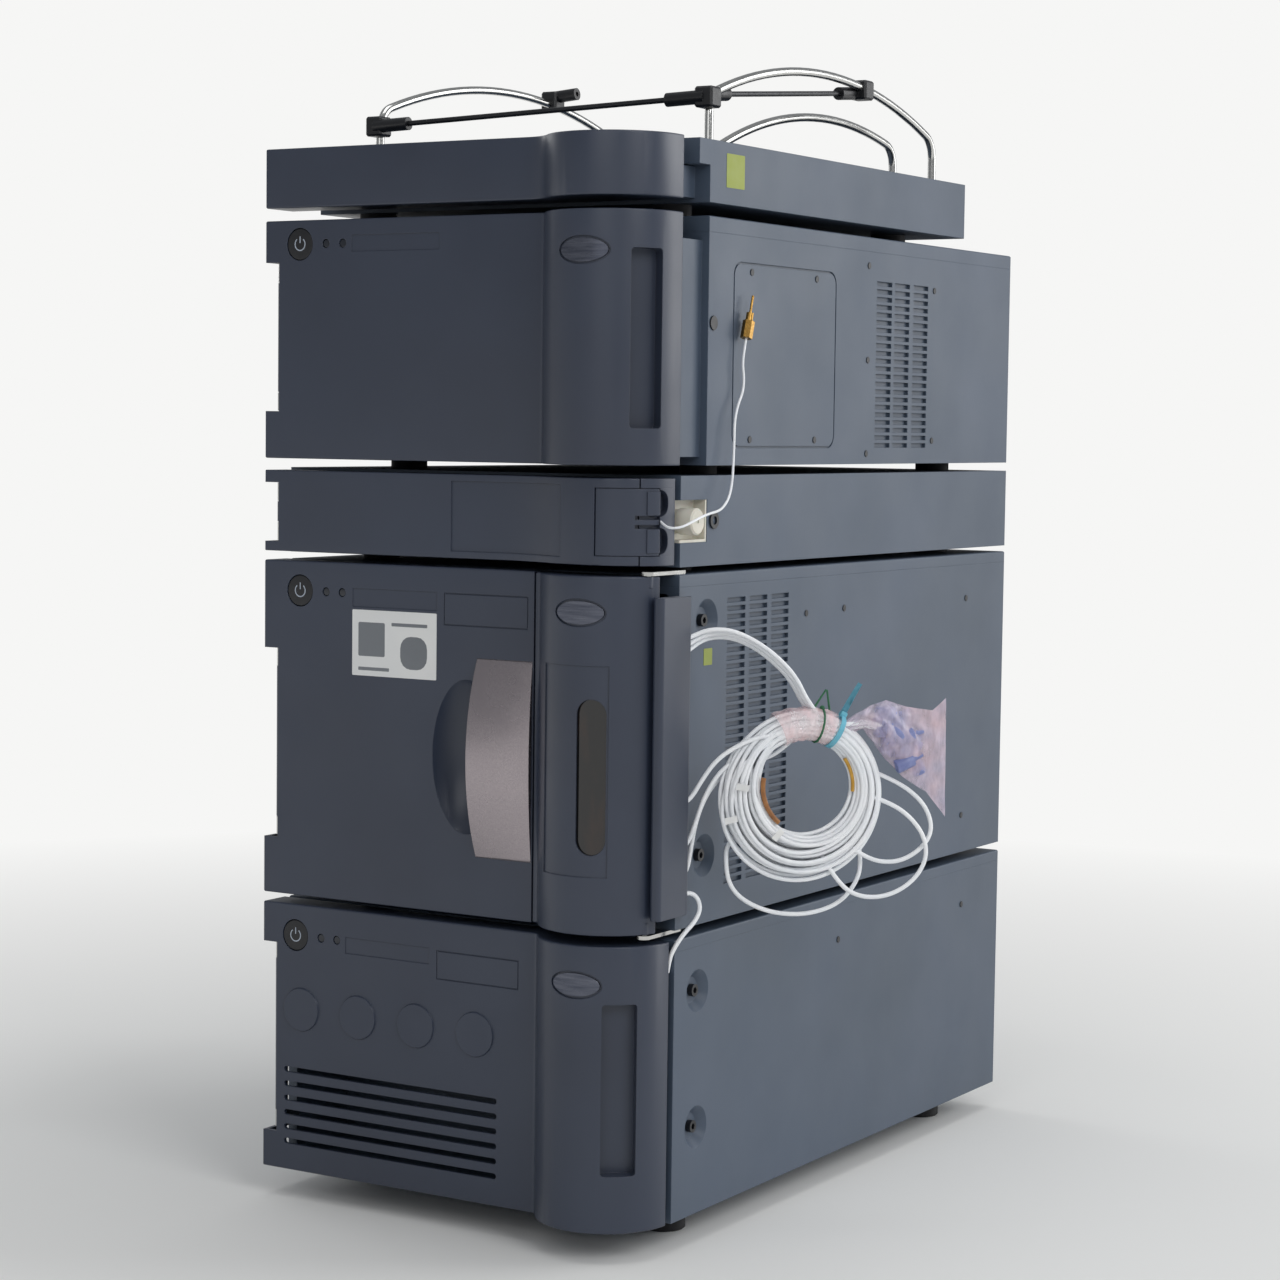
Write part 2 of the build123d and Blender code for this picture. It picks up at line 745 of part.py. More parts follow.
with BuildPart() as sampler_handle:
    for x, bow in ((sampler_split - handle_width, handle_bow), (sampler_split - handle_edge, handle_wall + 0.6)):
        with BuildSketch(Plane.YZ.offset(x)):
            with BuildLine():
                low, high = handle_z - handle_length / 2, handle_z + handle_length / 2
                ThreePointArc((door_front, low), (door_front - bow, handle_z), (door_front, high))
                Line((door_front, high), (door_front, high - handle_root))
                ThreePointArc((door_front, high - handle_root), (door_front - bow + handle_wall, handle_z), (door_front, low + handle_root))
                Line((door_front, low + handle_root), (door_front, low))
            make_face()
    loft()
save(sampler_handle, "sampler_handle")

with BuildPart() as sampler_button:
    add(power_button(sampler_button_x, sampler_button_z))
save(sampler_button, "sampler_button")

with BuildPart() as sampler_lights:
    add(status_lights(sampler_lights_x, sampler_button_z))
save(sampler_lights, "sampler_lights")


def side_outline(inset=0.0):
    """Plan of the sampler's side door: the round column and the strip left of it, up to its hinge."""
    back = door_front + side_door_depth + inset
    reach = 2 * bulge_radius
    end = radians(side_door_end)
    with BuildSketch() as outline:
        add(front_outline(inset, back))
        with Locations(((sampler_split + seam + inset + half_width) / 2, door_front)):
            Rectangle(half_width - sampler_split - seam - inset, 4 * bulge_radius, mode=Mode.INTERSECT)
        with BuildLine():
            Polyline(
                (bulge_x, bulge_y),
                (bulge_x + reach * sin(end), bulge_y - reach * cos(end)),
                (bulge_x + reach, bulge_y + reach),
                (bulge_x, bulge_y),
            )
        make_face(mode=Mode.SUBTRACT)
    return outline.sketch


side_hinge_x = bulge_x + (bulge_radius - side_hinge_inset) * sin(radians(side_hinge_angle))
side_hinge_y = bulge_y - (bulge_radius - side_hinge_inset) * cos(radians(side_hinge_angle))
side_door_base = sampler_base + pivot_gap
side_door_height = sampler_height - 2 * pivot_gap
window_z = sampler_base + window_height
with BuildPart() as side_door:
    add(moulded_door(side_outline(), side_outline(door_wall), side_door_base, side_door_height, door_front + side_door_depth))
    for low in (side_door_base, side_door_base + side_door_height - pivot_boss):
        with Locations((side_hinge_x, side_hinge_y, low + pivot_boss / 2)):
            Cylinder(side_hinge_inset + 0.4, pivot_boss)
            Cylinder(hinge_pin_radius + hinge_running_clearance, pivot_boss, mode=Mode.SUBTRACT)
    with BuildSketch() as surround:
        Rectangle(2 * bulge_radius * sin(radians(surround_sweep / 2)), surround_height)
    add(bulge_patch(surround.sketch, surround_angle, window_z + 4, bulge_radius - surround_depth, bulge_radius + 2), mode=Mode.SUBTRACT)
    with BuildSketch() as slot:
        SlotOverall(window_length, window_width, rotation=90)
    add(bulge_patch(slot.sketch, window_angle, window_z, bulge_radius - 2 * door_wall, bulge_radius + 2), mode=Mode.SUBTRACT)
    add(badge_dish(sampler_badge_z), mode=Mode.SUBTRACT)
save(side_door, "side_door")

with BuildPart() as side_door_window:
    with BuildSketch() as pane:
        SlotOverall(window_length + 2 * window_lap, window_width + 2 * window_lap, rotation=90)
    add(bulge_patch(pane.sketch, window_angle, window_z, bulge_radius - door_wall - window_thickness, bulge_radius - door_wall))
save(side_door_window, "side_door_window")

with BuildPart() as sampler_badge:
    add(badge_plate(sampler_badge_z))
save(sampler_badge, "sampler_badge")

with BuildPart() as chase_cover:
    with BuildSketch(Plane.XY.offset(sampler_base + chase_low)):
        with Locations((half_width - chase_wall + chase_width / 2, door_front + (chase_front + chase_back) / 2)):
            RectangleRounded(chase_width, chase_back - chase_front, chase_corner)
            with Locations((0, chase_wall)):
                Rectangle(chase_width - 2 * chase_wall, chase_back - chase_front, mode=Mode.SUBTRACT)
    extrude(amount=chase_height)
    block(
        (half_width - chase_wall - 1, casing_front, sampler_base + chase_low - 1),
        (half_width, door_front + chase_back + 1, sampler_base + chase_low + chase_height + 1),
        Mode.SUBTRACT,
    )
save(chase_cover, "tube_chase_cover")

room_floor = sampler_opening_low
drawer_xs = (drawer_left_x, drawer_left_x + drawer_pitch)
drawer_front = casing_front + drawer_setback
drawer_face = drawer_wall + 6
plate_front = drawer_front + drawer_face + drawer_play
drawer_half = vial_plate_width / 2 + drawer_play + drawer_wall
drawer_back = plate_front + vial_plate_length + drawer_play + drawer_wall
with BuildPart() as sample_drawers:
    for drawer_x in drawer_xs:
        block((drawer_x - drawer_half, drawer_front, room_floor), (drawer_x + drawer_half, drawer_back, room_floor + drawer_height))
        block(
            (drawer_x - drawer_half + drawer_wall, drawer_front + drawer_face, room_floor + drawer_wall),
            (drawer_x + drawer_half - drawer_wall, drawer_back - drawer_wall, room_floor + drawer_height + 1),
            Mode.SUBTRACT,
        )
        with BuildSketch(face_plane(drawer_front)) as finger_slot:
            with Locations((drawer_x, room_floor + drawer_height / 2)):
                SlotOverall(drawer_half, drawer_height * 0.45)
        extrude(finger_slot.sketch, amount=-5, mode=Mode.SUBTRACT)
save(sample_drawers, "sample_drawers")

plate_low = room_floor + drawer_wall
with BuildPart() as vial_plates:
    for drawer_x in drawer_xs:
        block(
            (drawer_x - vial_plate_width / 2, plate_front, plate_low),
            (drawer_x + vial_plate_width / 2, plate_front + vial_plate_length, plate_low + vial_plate_height),
        )
        with Locations((drawer_x, plate_front + vial_plate_length / 2, plate_low + vial_plate_height)):
            with GridLocations(vial_pitch, vial_pitch, 3, 5):
                Hole(vial_hole_radius, depth=vial_hole_depth)
save(vial_plates, "vial_plates")

valve_z = room_floor + injection_valve_z
with BuildPart() as injection_valve:
    with BuildSketch(face_plane(bulkhead_y)):
        with Locations((valve_x, valve_z)):
            Circle(injection_valve_radius)
    extrude(amount=injection_valve_length)
    with BuildSketch(face_plane(bulkhead_y - injection_valve_length)):
        with Locations((valve_x, valve_z)):
            Circle(injection_valve_radius * 0.72)
    extrude(amount=8, taper=25)
    with BuildSketch(face_plane(bulkhead_y - injection_valve_length)):
        with Locations((valve_x, valve_z)):
            with PolarLocations(injection_valve_radius * 0.86, 6):
                RegularPolygon(3.2, 6)
    extrude(amount=11)
save(injection_valve, "injection_valve")

syringe_z = sampler_opening_high - syringe_drop
syringe_y = bulkhead_y - syringe_offset
with BuildPart() as syringe_barrel:
    with Locations((syringe_x, syringe_y, syringe_z)):
        Cylinder(syringe_radius, syringe_length)
        Cylinder(syringe_bore, syringe_length, mode=Mode.SUBTRACT)
    with Locations((syringe_x, syringe_y, syringe_z + syringe_length / 2 + 5)):
        Cylinder(syringe_radius + 2, 10)
    block(
        (syringe_x - 7, syringe_y, syringe_z + syringe_length / 2),
        (syringe_x + 7, bulkhead_y, syringe_z + syringe_length / 2 + 10),
    )
save(syringe_barrel, "syringe_barrel")

with BuildPart() as syringe_plunger:
    top = syringe_z + syringe_length / 2 - 6
    with Locations((syringe_x, syringe_y, top - 4)):
        Cylinder(syringe_bore - syringe_clearance, 8)
    with Locations((syringe_x, syringe_y, top - 4 - plunger_length / 2)):
        Cylinder(syringe_bore / 2, plunger_length)
    with Locations((syringe_x, syringe_y, top - 4 - plunger_length)):
        Cylinder(syringe_radius, 6)
save(syringe_plunger, "syringe_plunger")

# ---------- column oven ----------
oven_opening = (-half_width + flange_width + 4, oven_opening_right, oven_base + oven_wall, oven_top - oven_wall, compartment_depth)
with BuildPart() as oven_chassis:
    with BuildSketch(Plane.XY.offset(oven_base)):
        with Locations((0, (casing_front + casing_back) / 2)):
            Rectangle(cabinet_width, casing_depth)
    extrude(amount=oven_height)
    with BuildSketch(face_plane(casing_front)):
        with Locations(((oven_opening[0] + oven_opening[1]) / 2, (oven_base + oven_top) / 2)):
            RectangleRounded(oven_opening[1] - oven_opening[0], oven_height - 2 * oven_wall, opening_corner)
    extrude(amount=-compartment_depth, mode=Mode.SUBTRACT)
    block(
        (half_width - bracket_depth, casing_front - 1, oven_base + bracket_low),
        (half_width + 1, casing_front + bracket_length, oven_base + bracket_low + bracket_height),
        Mode.SUBTRACT,
    )
save(oven_chassis, "oven_chassis")

oven_door_base = oven_base + oven_door_margin
oven_door_height = oven_height - 2 * oven_door_margin
oven_peak_x = half_width - bulge_inset - oven_corner_radius
oven_peak_y = door_front + oven_corner_radius - oven_rise


def oven_outline(inset=0.0, back=door_back):
    """Plan of the oven's front: flat, then a gentle swell, then a large round corner."""
    left = -half_width + inset
    front = door_front + inset
    swell_turn = degrees(2 * atan(oven_rise / oven_blend_run))
    swell_radius = oven_rise / 2 / (1 - cos(radians(swell_turn)))
    with BuildSketch() as outline:
        with BuildLine():
            flat = Line((left, front), (oven_peak_x - oven_blend_run, front))
            hollow = JernArc(flat @ 1, flat % 1, swell_radius + inset, -swell_turn)
            swell = JernArc(hollow @ 1, hollow % 1, swell_radius - inset, swell_turn)
            corner = JernArc(swell @ 1, swell % 1, oven_corner_radius - inset, 90)
            Polyline(corner @ 1, (half_width - bulge_inset - inset, back), (left, back), (left, front))
        make_face()
    return outline.sketch


def oven_wedge(start, end):
    """Sector of the oven's round corner between two angles from the front."""
    reach = 3 * oven_corner_radius
    with BuildSketch() as sector:
        with BuildLine():
            rays = [(oven_peak_x + reach * sin(radians(angle)), oven_peak_y - reach * cos(radians(angle))) for angle in (start, end)]
            Polyline((oven_peak_x, oven_peak_y), *rays, (oven_peak_x, oven_peak_y))
        make_face()
    return sector.sketch


def oven_layer(outer, inner, start, end, low, high):
    """Curved layer of the oven's front between two insets, two angles and two heights."""
    with BuildPart() as layer:
        with BuildSketch(Plane.XY.offset(low)):
            add(oven_outline(outer))
            add(oven_wedge(start, end), mode=Mode.INTERSECT)
            add(oven_outline(inner), mode=Mode.SUBTRACT)
        extrude(amount=high - low)
    return layer.part


def oven_plane(angle, z, radius=0.0):
    """Plane that looks out of the oven's round corner at an angle from the front."""
    outward = Vector(sin(radians(angle)), -cos(radians(angle)), 0)
    across = Vector(cos(radians(angle)), sin(radians(angle)), 0)
    return Plane(Vector(oven_peak_x, oven_peak_y, z) + outward * radius, x_dir=across, z_dir=outward)


latch_low = oven_door_base + latch_margin
latch_high = oven_door_base + oven_door_height - latch_margin
latch_middle = (latch_low + latch_high) / 2
latch_hinge_radius = oven_corner_radius - latch_thickness / 2
latch_hinge_x = oven_peak_x + latch_hinge_radius * sin(radians(latch_start))
latch_hinge_y = oven_peak_y - latch_hinge_radius * cos(radians(latch_start))
latch_edge = latch_start - degrees(latch_gap / oven_corner_radius) - degrees(latch_thickness / 2 / latch_hinge_radius)
latch_recess = latch_thickness + latch_gap
with BuildPart() as oven_door:
    with BuildSketch(Plane.XY.offset(oven_door_base)):
        add(oven_outline())
        add(oven_wedge(oven_seam_angle, 180), mode=Mode.SUBTRACT)
    extrude(amount=oven_door_height)
    fillet_front_rim(oven_door, door_back, 0.8)
    with BuildSketch(Plane.XY.offset(oven_door_base + door_wall)):
        add(oven_outline(door_wall, door_back + 1))
        with Locations((oven_peak_x - oven_solid_end, door_front)):
            Rectangle(cabinet_width, 4 * bulge_radius, align=(Align.MAX, Align.CENTER), mode=Mode.INTERSECT)
    extrude(amount=oven_door_height - 2 * door_wall, mode=Mode.SUBTRACT)
    cut_hinge_side(*oven_notch)
    with BuildSketch(Plane.XY.offset(oven_door_base + panel_margin)):
        add(oven_outline(-1))
        add(oven_outline(panel_depth), mode=Mode.SUBTRACT)
        with Locations(((panel_left + panel_right) / 2, door_front)):
            Rectangle(panel_right - panel_left, 2 * oven_rise + 10, mode=Mode.INTERSECT)
    extrude(amount=oven_door_height - 2 * panel_margin, mode=Mode.SUBTRACT)
    recess = oven_layer(-1, latch_recess, latch_edge, oven_seam_angle + 1, latch_low - latch_gap, latch_high + latch_gap)
    add(recess, mode=Mode.SUBTRACT)
    with Locations((latch_hinge_x, latch_hinge_y, latch_middle)):
        Cylinder(latch_pin_radius + hinge_running_clearance, latch_high - latch_low + 2 * latch_pin_reach + 1, mode=Mode.SUBTRACT)
save(oven_door, "oven_door")

seat_low = latch_low - latch_gap
seat_high = latch_high + latch_gap


def end_cap_slab(low, high, inset=0.0):
    """Slab of the oven's end cap between two heights, set in from its outline."""
    with BuildPart() as slab:
        with BuildSketch(Plane.XY.offset(low)):
            add(oven_outline(inset))
            add(oven_wedge(-90, oven_seam_angle + seam_gap_angle), mode=Mode.SUBTRACT)
            with Locations((oven_peak_x, oven_peak_y)):
                Rectangle(2 * cabinet_width, 4 * bulge_radius, align=(Align.MAX, Align.CENTER), mode=Mode.SUBTRACT)
        extrude(amount=high - low)
    return slab.part


# The end cap is moulded in four: a core that the latch lies on, a rail above, a rail below and a stop at its tip.
with BuildPart() as oven_end_cap:
    core_low, core_high = seat_low + moulding_gap, seat_high - moulding_gap
    add(end_cap_slab(core_low, core_high, latch_recess))
    block(
        (oven_peak_x + end_cap_rib, door_back - 1, core_low),
        (half_width - bulge_inset - end_cap_rib, casing_front, core_high),
    )
    add(oven_layer(0, latch_recess - moulding_gap, latch_end + latch_tip_gap, 180, core_low, core_high))
    for z in (latch_middle - thumb_pitch / 2, latch_middle + thumb_pitch / 2):
        with BuildSketch(oven_plane(thumb_angle, z, oven_corner_radius - finger_depth)):
            RectangleRounded(finger_width, thumb_height + 2, min(finger_width, thumb_height) / 2 - 0.5)
        extrude(amount=finger_depth + 5, mode=Mode.SUBTRACT)
    add(end_cap_slab(oven_door_base, seat_low))
    add(end_cap_slab(seat_high, oven_door_base + oven_door_height))
save(oven_end_cap, "oven_end_cap")

with BuildPart() as oven_latch:
    add(oven_layer(0, latch_thickness, latch_start, latch_end, latch_low, latch_high))
    with Locations((latch_hinge_x, latch_hinge_y, latch_middle)):
        Cylinder(latch_thickness / 2, latch_high - latch_low)
        Cylinder(latch_pin_radius, latch_high - latch_low + 2 * latch_pin_reach)
    for z in (latch_middle - fork_pitch / 2, latch_middle + fork_pitch / 2):
        add(
            oven_layer(-1, latch_thickness + 1, fork_start, latch_end + 1, z - fork_slot / 2, z + fork_slot / 2),
            mode=Mode.SUBTRACT,
        )
    for z in (latch_middle - thumb_pitch / 2, latch_middle + thumb_pitch / 2):
        add(oven_layer(-thumb_rise, 1, thumb_start, latch_end, z - thumb_height / 2, z + thumb_height / 2))
save(oven_latch, "oven_latch")

trough_left = oven_opening[0] + trough_inset
trough_right = oven_opening[1] - trough_inset
trough_base = oven_base + oven_wall
with BuildPart() as oven_trough:
    block(
        (trough_left, casing_front + trough_setback, trough_base),
        (trough_right, casing_front + compartment_depth - trough_setback, trough_base + trough_height),
    )
    column_y = casing_front + compartment_depth / 2
    column_z = trough_base + trough_height - column_radius * 0.2
    with BuildSketch(Plane.YZ.offset(trough_left)):
        with Locations((column_y, column_z)):
            Circle(column_radius + column_clearance)
        with Locations((column_y, column_z + column_radius)):
            Rectangle(2 * (column_radius + column_clearance), 2 * column_radius)
    extrude(amount=trough_right - trough_left, mode=Mode.SUBTRACT)
save(oven_trough, "column_trough")

column_middle = (trough_left + trough_right) / 2
with BuildPart() as column:
    with BuildSketch(Plane.YZ.offset(column_middle)):
        with Locations((column_y, column_z)):
            Circle(column_radius * 0.7)
    extrude(amount=column_length / 2, both=True)
    for side in (-1, 1):
        with BuildSketch(Plane.YZ.offset(column_middle + side * column_length / 2)):
            with Locations((column_y, column_z)):
                RegularPolygon(column_radius, 6)
        extrude(amount=-side * column_nut_length)
        with BuildSketch(Plane.YZ.offset(column_middle + side * column_length / 2)):
            with Locations((column_y, column_z)):
                Circle(column_radius * 0.45)
        extrude(amount=side * column_nut_length)
save(column, "separation_column")

knob_z = oven_base + bracket_low + bracket_height / 2
knob_y = door_front + knob_depth
with BuildPart() as knob_bracket:
    block(
        (half_width - bracket_depth, casing_front, oven_base + bracket_low),
        (half_width - bracket_depth + sheet, casing_front + bracket_length, oven_base + bracket_low + bracket_height),
    )
    block(
        (half_width - bracket_depth, casing_front + bracket_length - sheet, oven_base + bracket_low),
        (half_width - bracket_lip_gap, casing_front + bracket_length, oven_base + bracket_low + bracket_height),
    )
    block(
        (half_width - bracket_depth, casing_front, oven_base + bracket_low),
        (half_width - bracket_lip_gap, casing_front + bracket_length, oven_base + bracket_low + sheet),
    )
    with BuildSketch(Plane.YZ.offset(half_width - bracket_depth + sheet)):
        with Locations((knob_y, knob_z)):
            Circle(knob_radius - 1)
    extrude(amount=bracket_boss)
    with BuildSketch(Plane.YZ.offset(half_width - bracket_depth)):
        with Locations((knob_y, knob_z)):
            Circle(knob_shaft_radius + hinge_running_clearance)
    extrude(amount=bracket_depth, mode=Mode.SUBTRACT)
save(knob_bracket, "knob_bracket")

knob_back = half_width - bracket_depth + sheet + bracket_boss + 0.3
with BuildPart() as valve_knob:
    with BuildSketch(Plane.YZ.offset(knob_back)):
        with Locations((knob_y, knob_z)):
            Circle(knob_radius)
    extrude(amount=half_width + knob_reach - knob_back)
    chamfer(valve_knob.edges().group_by(Axis.X)[-1], 1.2)
    with BuildSketch(Plane.YZ.offset(half_width + knob_reach)):
        with Locations((knob_y, knob_z)):
            Circle(1.2)
    extrude(amount=-1, mode=Mode.SUBTRACT)
    with BuildSketch(Plane.YZ.offset(knob_back)):
        with Locations((knob_y, knob_z)):
            Circle(knob_shaft_radius)
    extrude(amount=-(bracket_boss + 1))
save(valve_knob, "valve_knob")

# ---------- detector ----------
detector_opening = (
    -half_width + flange_width + collar_inset,
    half_width - flange_width - collar_inset,
    detector_base + floor_rise + collar_inset,
    detector_top - detector_lip - head_room - collar_inset,
    detector_room_depth,
)
collar_width = cabinet_width - 2 * collar_inset
collar_height = detector_height - detector_lip - 2 * collar_inset
with BuildPart() as detector_chassis:
    add(casing(detector_base, detector_top, detector_lip, detector_front, detector_opening))
    cut_side_grille(detector_grille_columns, detector_base + 14.5, detector_base + 140.5)
    with BuildSketch(Plane.YZ.offset(half_width)):
        with Locations((door_front + access_middle, detector_base + access_z)):
            RectangleRounded(access_width + 2 * access_groove, access_height + 2 * access_groove, access_corner + access_groove)
    extrude(amount=-access_recess, mode=Mode.SUBTRACT)
    with BuildSketch(Plane.YZ.offset(half_width)):
        with Locations((door_front + 73, detector_base + 100.6)):
            Circle(plug_radius)
    extrude(amount=-plug_length, mode=Mode.SUBTRACT)
    with BuildSketch(face_plane(door_front + deep_front_depth + collar_gap)) as collar:
        with Locations((0, (detector_base + detector_top - detector_lip) / 2)):
            Rectangle(collar_width, collar_height)
            RectangleRounded(collar_width - 2 * flange_width, collar_height - 2 * flange_width, opening_corner, mode=Mode.SUBTRACT)
    extrude(collar.sketch, amount=-(detector_front - door_front - deep_front_depth - collar_gap))
save(detector_chassis, "detector_chassis")

with BuildPart() as detector_lid:
    add(casing_lid(detector_top, detector_lip, detector_front))
save(detector_lid, "detector_lid")

detector_button_x = -half_width + detector_button_edge
detector_button_z = detector_top - detector_button_drop
detector_lights_x = [-half_width + edge for edge in detector_light_edges]
detector_badge_z = detector_top - detector_badge_drop
with BuildPart() as detector_door:
    outline = front_outline(0, deep_front_back)
    hollow = front_outline(door_wall, deep_front_back + 1)
    add(moulded_door(outline, hollow, detector_base, detector_height, deep_front_back))
    cut_hinge_side(*detector_notch, deep_front_back)
    cut_front_details(detector_button_x, detector_button_z, detector_lights_x, front_place(detector_label, detector_top))
    add(badge_dish(detector_badge_z), mode=Mode.SUBTRACT)
    grip_pocket(detector_grip_angle, detector_base + detector_grip_z, detector_grip_width, detector_grip_height, grip_depth, Mode.ADD)
    grip_pocket(detector_grip_angle, detector_base + detector_grip_z, detector_grip_width, detector_grip_height, grip_depth, Mode.SUBTRACT)
save(detector_door, "detector_door")

with BuildPart() as detector_button:
    add(power_button(detector_button_x, detector_button_z))
save(detector_button, "detector_button")

with BuildPart() as detector_lights:
    add(status_lights(detector_lights_x, detector_button_z))
save(detector_lights, "detector_lights")

with BuildPart() as detector_badge:
    add(badge_plate(detector_badge_z))
save(detector_badge, "detector_badge")

with BuildPart() as lamp_cover:
    with BuildSketch(Plane.YZ.offset(half_width - access_recess)):
        with Locations((door_front + access_middle, detector_base + access_z)):
            RectangleRounded(access_width, access_height, access_corner)
    extrude(amount=access_recess)
save(lamp_cover, "lamp_access_cover")

with BuildPart() as flow_cell:
    cell_back = detector_front + detector_room_depth
    block(
        (flow_cell_x - cell_width / 2, cell_back - cell_depth, detector_base + flow_cell_z - cell_height / 2),
        (flow_cell_x + cell_width / 2, cell_back, detector_base + flow_cell_z + cell_height / 2),
    )
    with BuildSketch(face_plane(cell_back - cell_depth)):
        with Locations((flow_cell_x, detector_base + flow_cell_z)):
            Circle(lens_radius)
    extrude(amount=14)
    with BuildSketch(face_plane(cell_back - cell_depth)):
        with Locations((flow_cell_x, detector_base + flow_cell_z)):
            with GridLocations(cell_width - 10, cell_height - 10, 2, 2):
                Circle(3)
    extrude(amount=4)
save(flow_cell, "flow_cell")

# ---------- solvent tray ----------
tray_front_y = casing_front + tray_setback
tray_back_y = casing_back - tray_back_inset
with BuildPart() as tray_front:
    outline = front_outline(0, deep_front_back, tray_blend)
    hollow = front_outline(door_wall, deep_front_back + 1, tray_blend)
    add(moulded_door(outline, hollow, tray_base, tray_height, deep_front_back))
save(tray_front, "tray_front")

with BuildPart() as solvent_tray:
    with BuildSketch(Plane.XY.offset(tray_base)):
        with Locations((0, (tray_front_y + tray_notch + tray_back_y) / 2)):
            Rectangle(cabinet_width, tray_back_y - tray_front_y - tray_notch)
    extrude(amount=tray_height)
    with BuildSketch(Plane.XY.offset(tray_base + tray_notch_height)):
        with Locations((0, (tray_front_y + tray_back_y) / 2)):
            Rectangle(cabinet_width, tray_back_y - tray_front_y)
    extrude(amount=tray_height - tray_notch_height)
    fillet(solvent_tray.edges().filter_by(Axis.Z).group_by(Axis.Y)[-1], 4)
    with BuildSketch(Plane.XY.offset(tray_base + tray_floor)):
        with Locations((0, (tray_front_y + tray_notch + tray_back_y) / 2)):
            Rectangle(cabinet_width - 2 * tray_wall, tray_back_y - tray_front_y - tray_notch - 2 * tray_wall)
    extrude(amount=tray_height, mode=Mode.SUBTRACT)
    block(
        (-tray_neck_width / 2, deep_front_back, tray_base + tray_floor),
        (tray_neck_width / 2, tray_front_y + tray_notch, tray_base + tray_notch_height - 1),
    )
save(solvent_tray, "solvent_tray")

# ---------- rails ----------
tray_deck = tray_base + tray_floor


def hoop(x, front, back, shoulders, crown, bend):
    """Bent rod that stands in the tray: two legs and a long shallow arch between them."""
    legs_top = [tray_top + rise for rise in shoulders]
    with BuildPart() as rod:
        with BuildLine(Plane.YZ.offset(x)) as path:
            left = Line((front, tray_deck), (front, legs_top[0]))
            right = Line((back, legs_top[1]), (back, tray_deck))
            ThreePointArc(left @ 1, ((front + back) / 2, tray_top + crown), right @ 0)
            fillet(path.vertices().sort_by_distance((x, front, legs_top[0]))[0], bend)
            fillet(path.vertices().sort_by_distance((x, back, legs_top[1]))[0], bend)
        with BuildSketch(Plane(origin=(x, front, tray_deck))):
            Circle(rail_radius)
        sweep(path=path.wire())
    return rod.part


outer_front = door_front + rail_front
outer_back = door_front + rail_back
with BuildPart() as hoop_rails:
    for x in (-rail_spread, rail_spread):
        add(hoop(x, outer_front, outer_back, rail_shoulders, rail_crown, rail_bend))
    add(hoop(inner_rail_x, outer_front + inner_rail_setback, outer_back, inner_rail_shoulders, inner_rail_crown, inner_rail_bend))
save(hoop_rails, "hoop_rails")


def rod_between(start, end, radius):
    """Straight round rod between two points."""
    with BuildPart() as rod:
        with BuildLine() as axis:
            Line(start, end)
        with BuildSketch(Plane(origin=start, z_dir=Vector(*end) - Vector(*start))):
            Circle(radius)
        sweep(path=axis.wire())
    return rod.part


def clamp(x, y, z, rods):
    """Moulded clamp on a rail, with a round socket over the end of each rod it holds."""
    with BuildPart() as body:
        with Locations((x, y, z)):
            Box(clamp_size, clamp_size, clamp_size)
        chamfer(body.edges(), 1.5)
        for start, end, socket in rods:
            add(rod_between(start, socket, sleeve_radius))
        add(hoop_rails.part, mode=Mode.SUBTRACT)
        for start, end, socket in rods:
            add(rod_between(start, end, rod_radius), mode=Mode.SUBTRACT)
    return body.part


def along(start, end, distance):
    """Point on the way from a start to an end, at a distance from the start."""
    way = Vector(*end) - Vector(*start)
    return tuple(Vector(*start) + way.normalized() * distance)


front_rod_y = outer_front - rail_radius - rod_radius - 1
front_rod = ((-rail_spread, front_rod_y, tray_top + front_rod_rise[0]), (rail_spread, front_rod_y, tray_top + front_rod_rise[1]))
side_rod_x = rail_spread - rail_radius - rod_radius - 1
stub_rod_y = door_front + side_rod_reach
side_rod = ((side_rod_x, outer_front + 4, tray_top + side_rod_rise[0]), (side_rod_x, stub_rod_y, tray_top + side_rod_rise[1]))
stub_rod = (
    (-rail_spread, stub_rod_y, tray_top + stub_rod_rise[0]),
    (-rail_spread + stub_rod_length, stub_rod_y, tray_top + stub_rod_rise[1]),
)
with BuildPart() as cross_rods:
    for start, end in (front_rod, side_rod):
        add(rod_between(start, end, rod_radius))
save(cross_rods, "cross_rods")

with BuildPart() as rail_clamps:
    reach = clamp_size / 2 + sleeve_length
    forward = front_rod + (along(*front_rod, reach),)
    backward = (front_rod[1], front_rod[0], along(front_rod[1], front_rod[0], reach))
    side_near = side_rod + (along(*side_rod, reach),)
    side_far = (side_rod[1], side_rod[0], along(side_rod[1], side_rod[0], reach))
    add(clamp(-rail_spread, outer_front - 2, front_rod[0][2], [forward]))
    add(clamp(rail_spread, outer_front - 2, front_rod[1][2], [backward, side_near]))
    add(clamp(rail_spread - 2, side_rod[1][1], side_rod[1][2] + 2, [side_far]))
    add(clamp(-rail_spread, stub_rod_y, tray_top + stub_clamp_rise, [stub_rod + (stub_rod[1],)]))
save(rail_clamps, "rail_clamps")

